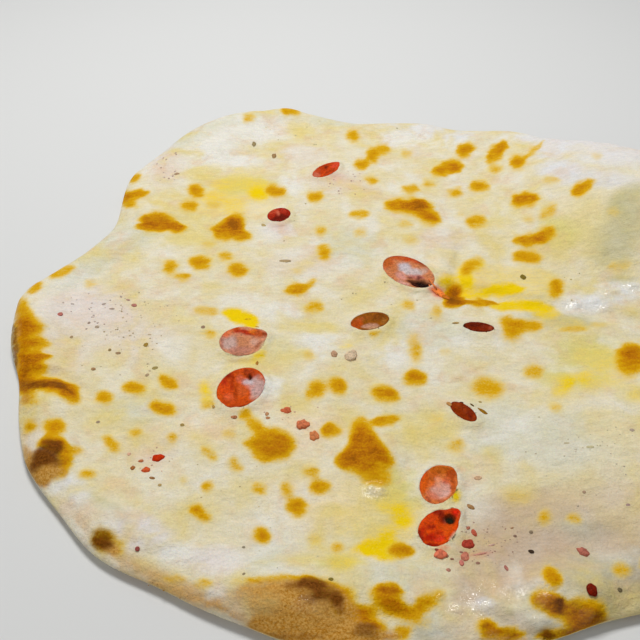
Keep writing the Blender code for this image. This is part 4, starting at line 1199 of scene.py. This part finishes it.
# Clusters of finer ones: px, py, width, height, how many, darkest and palest colour
SPECK_CLUSTERS = (
    (96, 312, 80, 40, 30, 0xAA9486, 0xCCBAAE), (140, 320, 80, 60, 40, 0xAE9A78, 0xCCBA98),
    (120, 355, 90, 50, 20, 0xAE9A78, 0xCCBA98), (345, 183, 50, 26, 30, 0xBC9486, 0xD6B8A8),
    (170, 168, 36, 34, 16, 0xBA9A8C, 0xD6BEB0), (260, 215, 120, 60, 14, 0xB8A678, 0xD0C294),
    (490, 545, 80, 50, 40, 0xA47C6C, 0xBEA28E), (570, 480, 120, 90, 24, 0xB0A08C, 0xC8BAA2),
    (600, 440, 70, 30, 18, 0xB4AA8C, 0xCCC2A0), (290, 415, 60, 40, 14, 0xC49480, 0xD4B098),
    (150, 462, 50, 30, 10, 0xC08C78, 0xD4B098), (330, 130, 140, 30, 12, 0xBAAE86, 0xD0C6A0),
    (540, 290, 110, 60, 16, 0xB8A864, 0xCEC08A), (300, 545, 160, 50, 14, 0xACA682, 0xCAC2A2),
    (180, 588, 70, 24, 26, 0xA07640, 0xC09C60), (400, 300, 120, 60, 12, 0xBCAC86, 0xCEC0A0),
    (700, 400, 110, 240, 40, 0xB0A08C, 0xC8BAA2), (220, 470, 140, 90, 14, 0xB8A678, 0xD2C298),
)
OFF_BREAD = 2  # a fine speck more than this many pixels off the bread is left out
TOO_COLOURED = 0.12  # and so is one where the dough is browned or stained more than this
SPECK_THICKNESS = 0.00010
SPECK_DIVISIONS = 2
DUST_DIVISIONS = 1
DUST_WIDTHS = (1.0, 2.4)  # pixels
DUST_FLATNESS = 0.7
DUST_SEED = 3

# Scorched flour: dry and dull, a little uneven in its brown
SCORCH_GRAIN = 0.5  # millimetres
scorched, scorched_shader = new_material("scorched_flour")
scorched_place = add_node(scorched, "TexCoord", {}).outputs["Object"]
speck_colour = add_node(scorched, "Attribute", {}, attribute_name="speck")
scorched_grain = add_node(scorched, "TexNoise", {
    "Vector": scorched_place, "Scale": PER_MILLIMETRE / SCORCH_GRAIN, "Detail": 2})
scorched_shade = add_node(scorched, "MapRange", {
    "Value": scorched_grain, "From Min": 0.35, "From Max": 0.65, "To Min": 0.85, "To Max": 1.15})
scorched_colour = add_node(scorched, "VectorMath", {0: speck_colour, "Scale": scorched_shade},
                           operation="SCALE")
set_sockets(scorched, scorched_shader, {
    "Base Color": scorched_colour, "Roughness": 0.7, "Specular IOR Level": 0.1})

dice = random.Random(DUST_SEED)
speck_sheet = bmesh.new()
speck_colours = []
for *oval, colour in SPECKS:
    matrix = blob_at_pixel(SPECK_THICKNESS, *oval)
    add_blob(speck_sheet, speck_colours, linear(colour), matrix, SPECK_DIVISIONS)
for px, py, width, height, how_many, darkest, palest in SPECK_CLUSTERS:
    for _ in range(how_many):
        turn, reach = dice.uniform(0, 2 * math.pi), math.sqrt(dice.random()) / 2
        size = dice.uniform(*DUST_WIDTHS)
        share = dice.random()
        speck_px, speck_py = px + width * reach * math.cos(turn), py + height * reach * math.sin(turn)
        from_speck = np.hypot(seen_across - speck_px, seen_down - speck_py)
        nearest = np.argmin(from_speck)
        coloured = cover["browning"][nearest] + cover["saffron"][nearest]
        if from_speck[nearest] > OFF_BREAD or coloured > TOO_COLOURED:
            continue
        matrix = blob_at_pixel(SPECK_THICKNESS, speck_px, speck_py, size, size * DUST_FLATNESS)
        colour = (1 - share) * np.array(linear(darkest)) + share * np.array(linear(palest))
        add_blob(speck_sheet, speck_colours, colour, matrix, DUST_DIVISIONS)
speck_mesh = blob_mesh(speck_sheet, "scorched_specks", "speck", speck_colours, scorched)
specks = add_object("scorched_specks", speck_mesh)
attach(specks, "root")

# The floor: a plain pale table that the bread lies on.
# It is matt, so that only the bread shines.
FLOOR_SIDE = 3.0
FLOOR_GAP = 0.0005  # between it and the bread's flat underside
floor_sheet = bmesh.new()
bmesh.ops.create_grid(floor_sheet, x_segments=1, y_segments=1, size=FLOOR_SIDE / 2)
floor_mesh = mesh_from(floor_sheet, "floor")
table, table_shader = new_material("matt_pale_paint")
set_sockets(table, table_shader, {"Base Color": linear(0xD8D8D6), "Roughness": 0.9})
floor_mesh.materials.append(table)
floor = add_object("floor", floor_mesh)
floor.location.z = -FLOOR_GAP

# The light: one large soft lamp over the back of the table, and a weak one from the front left.
# The room adds an even pale light. Each lamp faces the bread.
LAMPS = (  # name, direction, height over the table in degrees, distance, side, power
    ("main_lamp", 108, 68, 0.9, 0.28, 6.15),
    ("fill_lamp", 230, 40, 1.1, 0.8, 1.6),
)
ROOM_LIGHT = {"Color": (0.96, 0.98, 1.0, 1), "Strength": 0.24}
for name, direction, height, distance, side, power in LAMPS:
    lamp = bpy.data.lights.new(name, "AREA")
    lamp.size = side
    lamp.energy = power
    turn, lift = math.radians(direction), math.radians(height)
    away = Vector((math.cos(turn) * math.cos(lift), math.sin(turn) * math.cos(lift), math.sin(lift)))
    lamp_object = add_object(name, lamp)
    lamp_object.location = away * distance
    lamp_object.rotation_euler = away.to_track_quat("Z", "Y").to_euler()
room = bpy.data.worlds.new("room")
room.use_nodes = True
set_sockets(room, room.node_tree.nodes["Background"], ROOM_LIGHT)
bpy.context.scene.world = room
bpy.context.scene.view_settings.view_transform = "Standard"
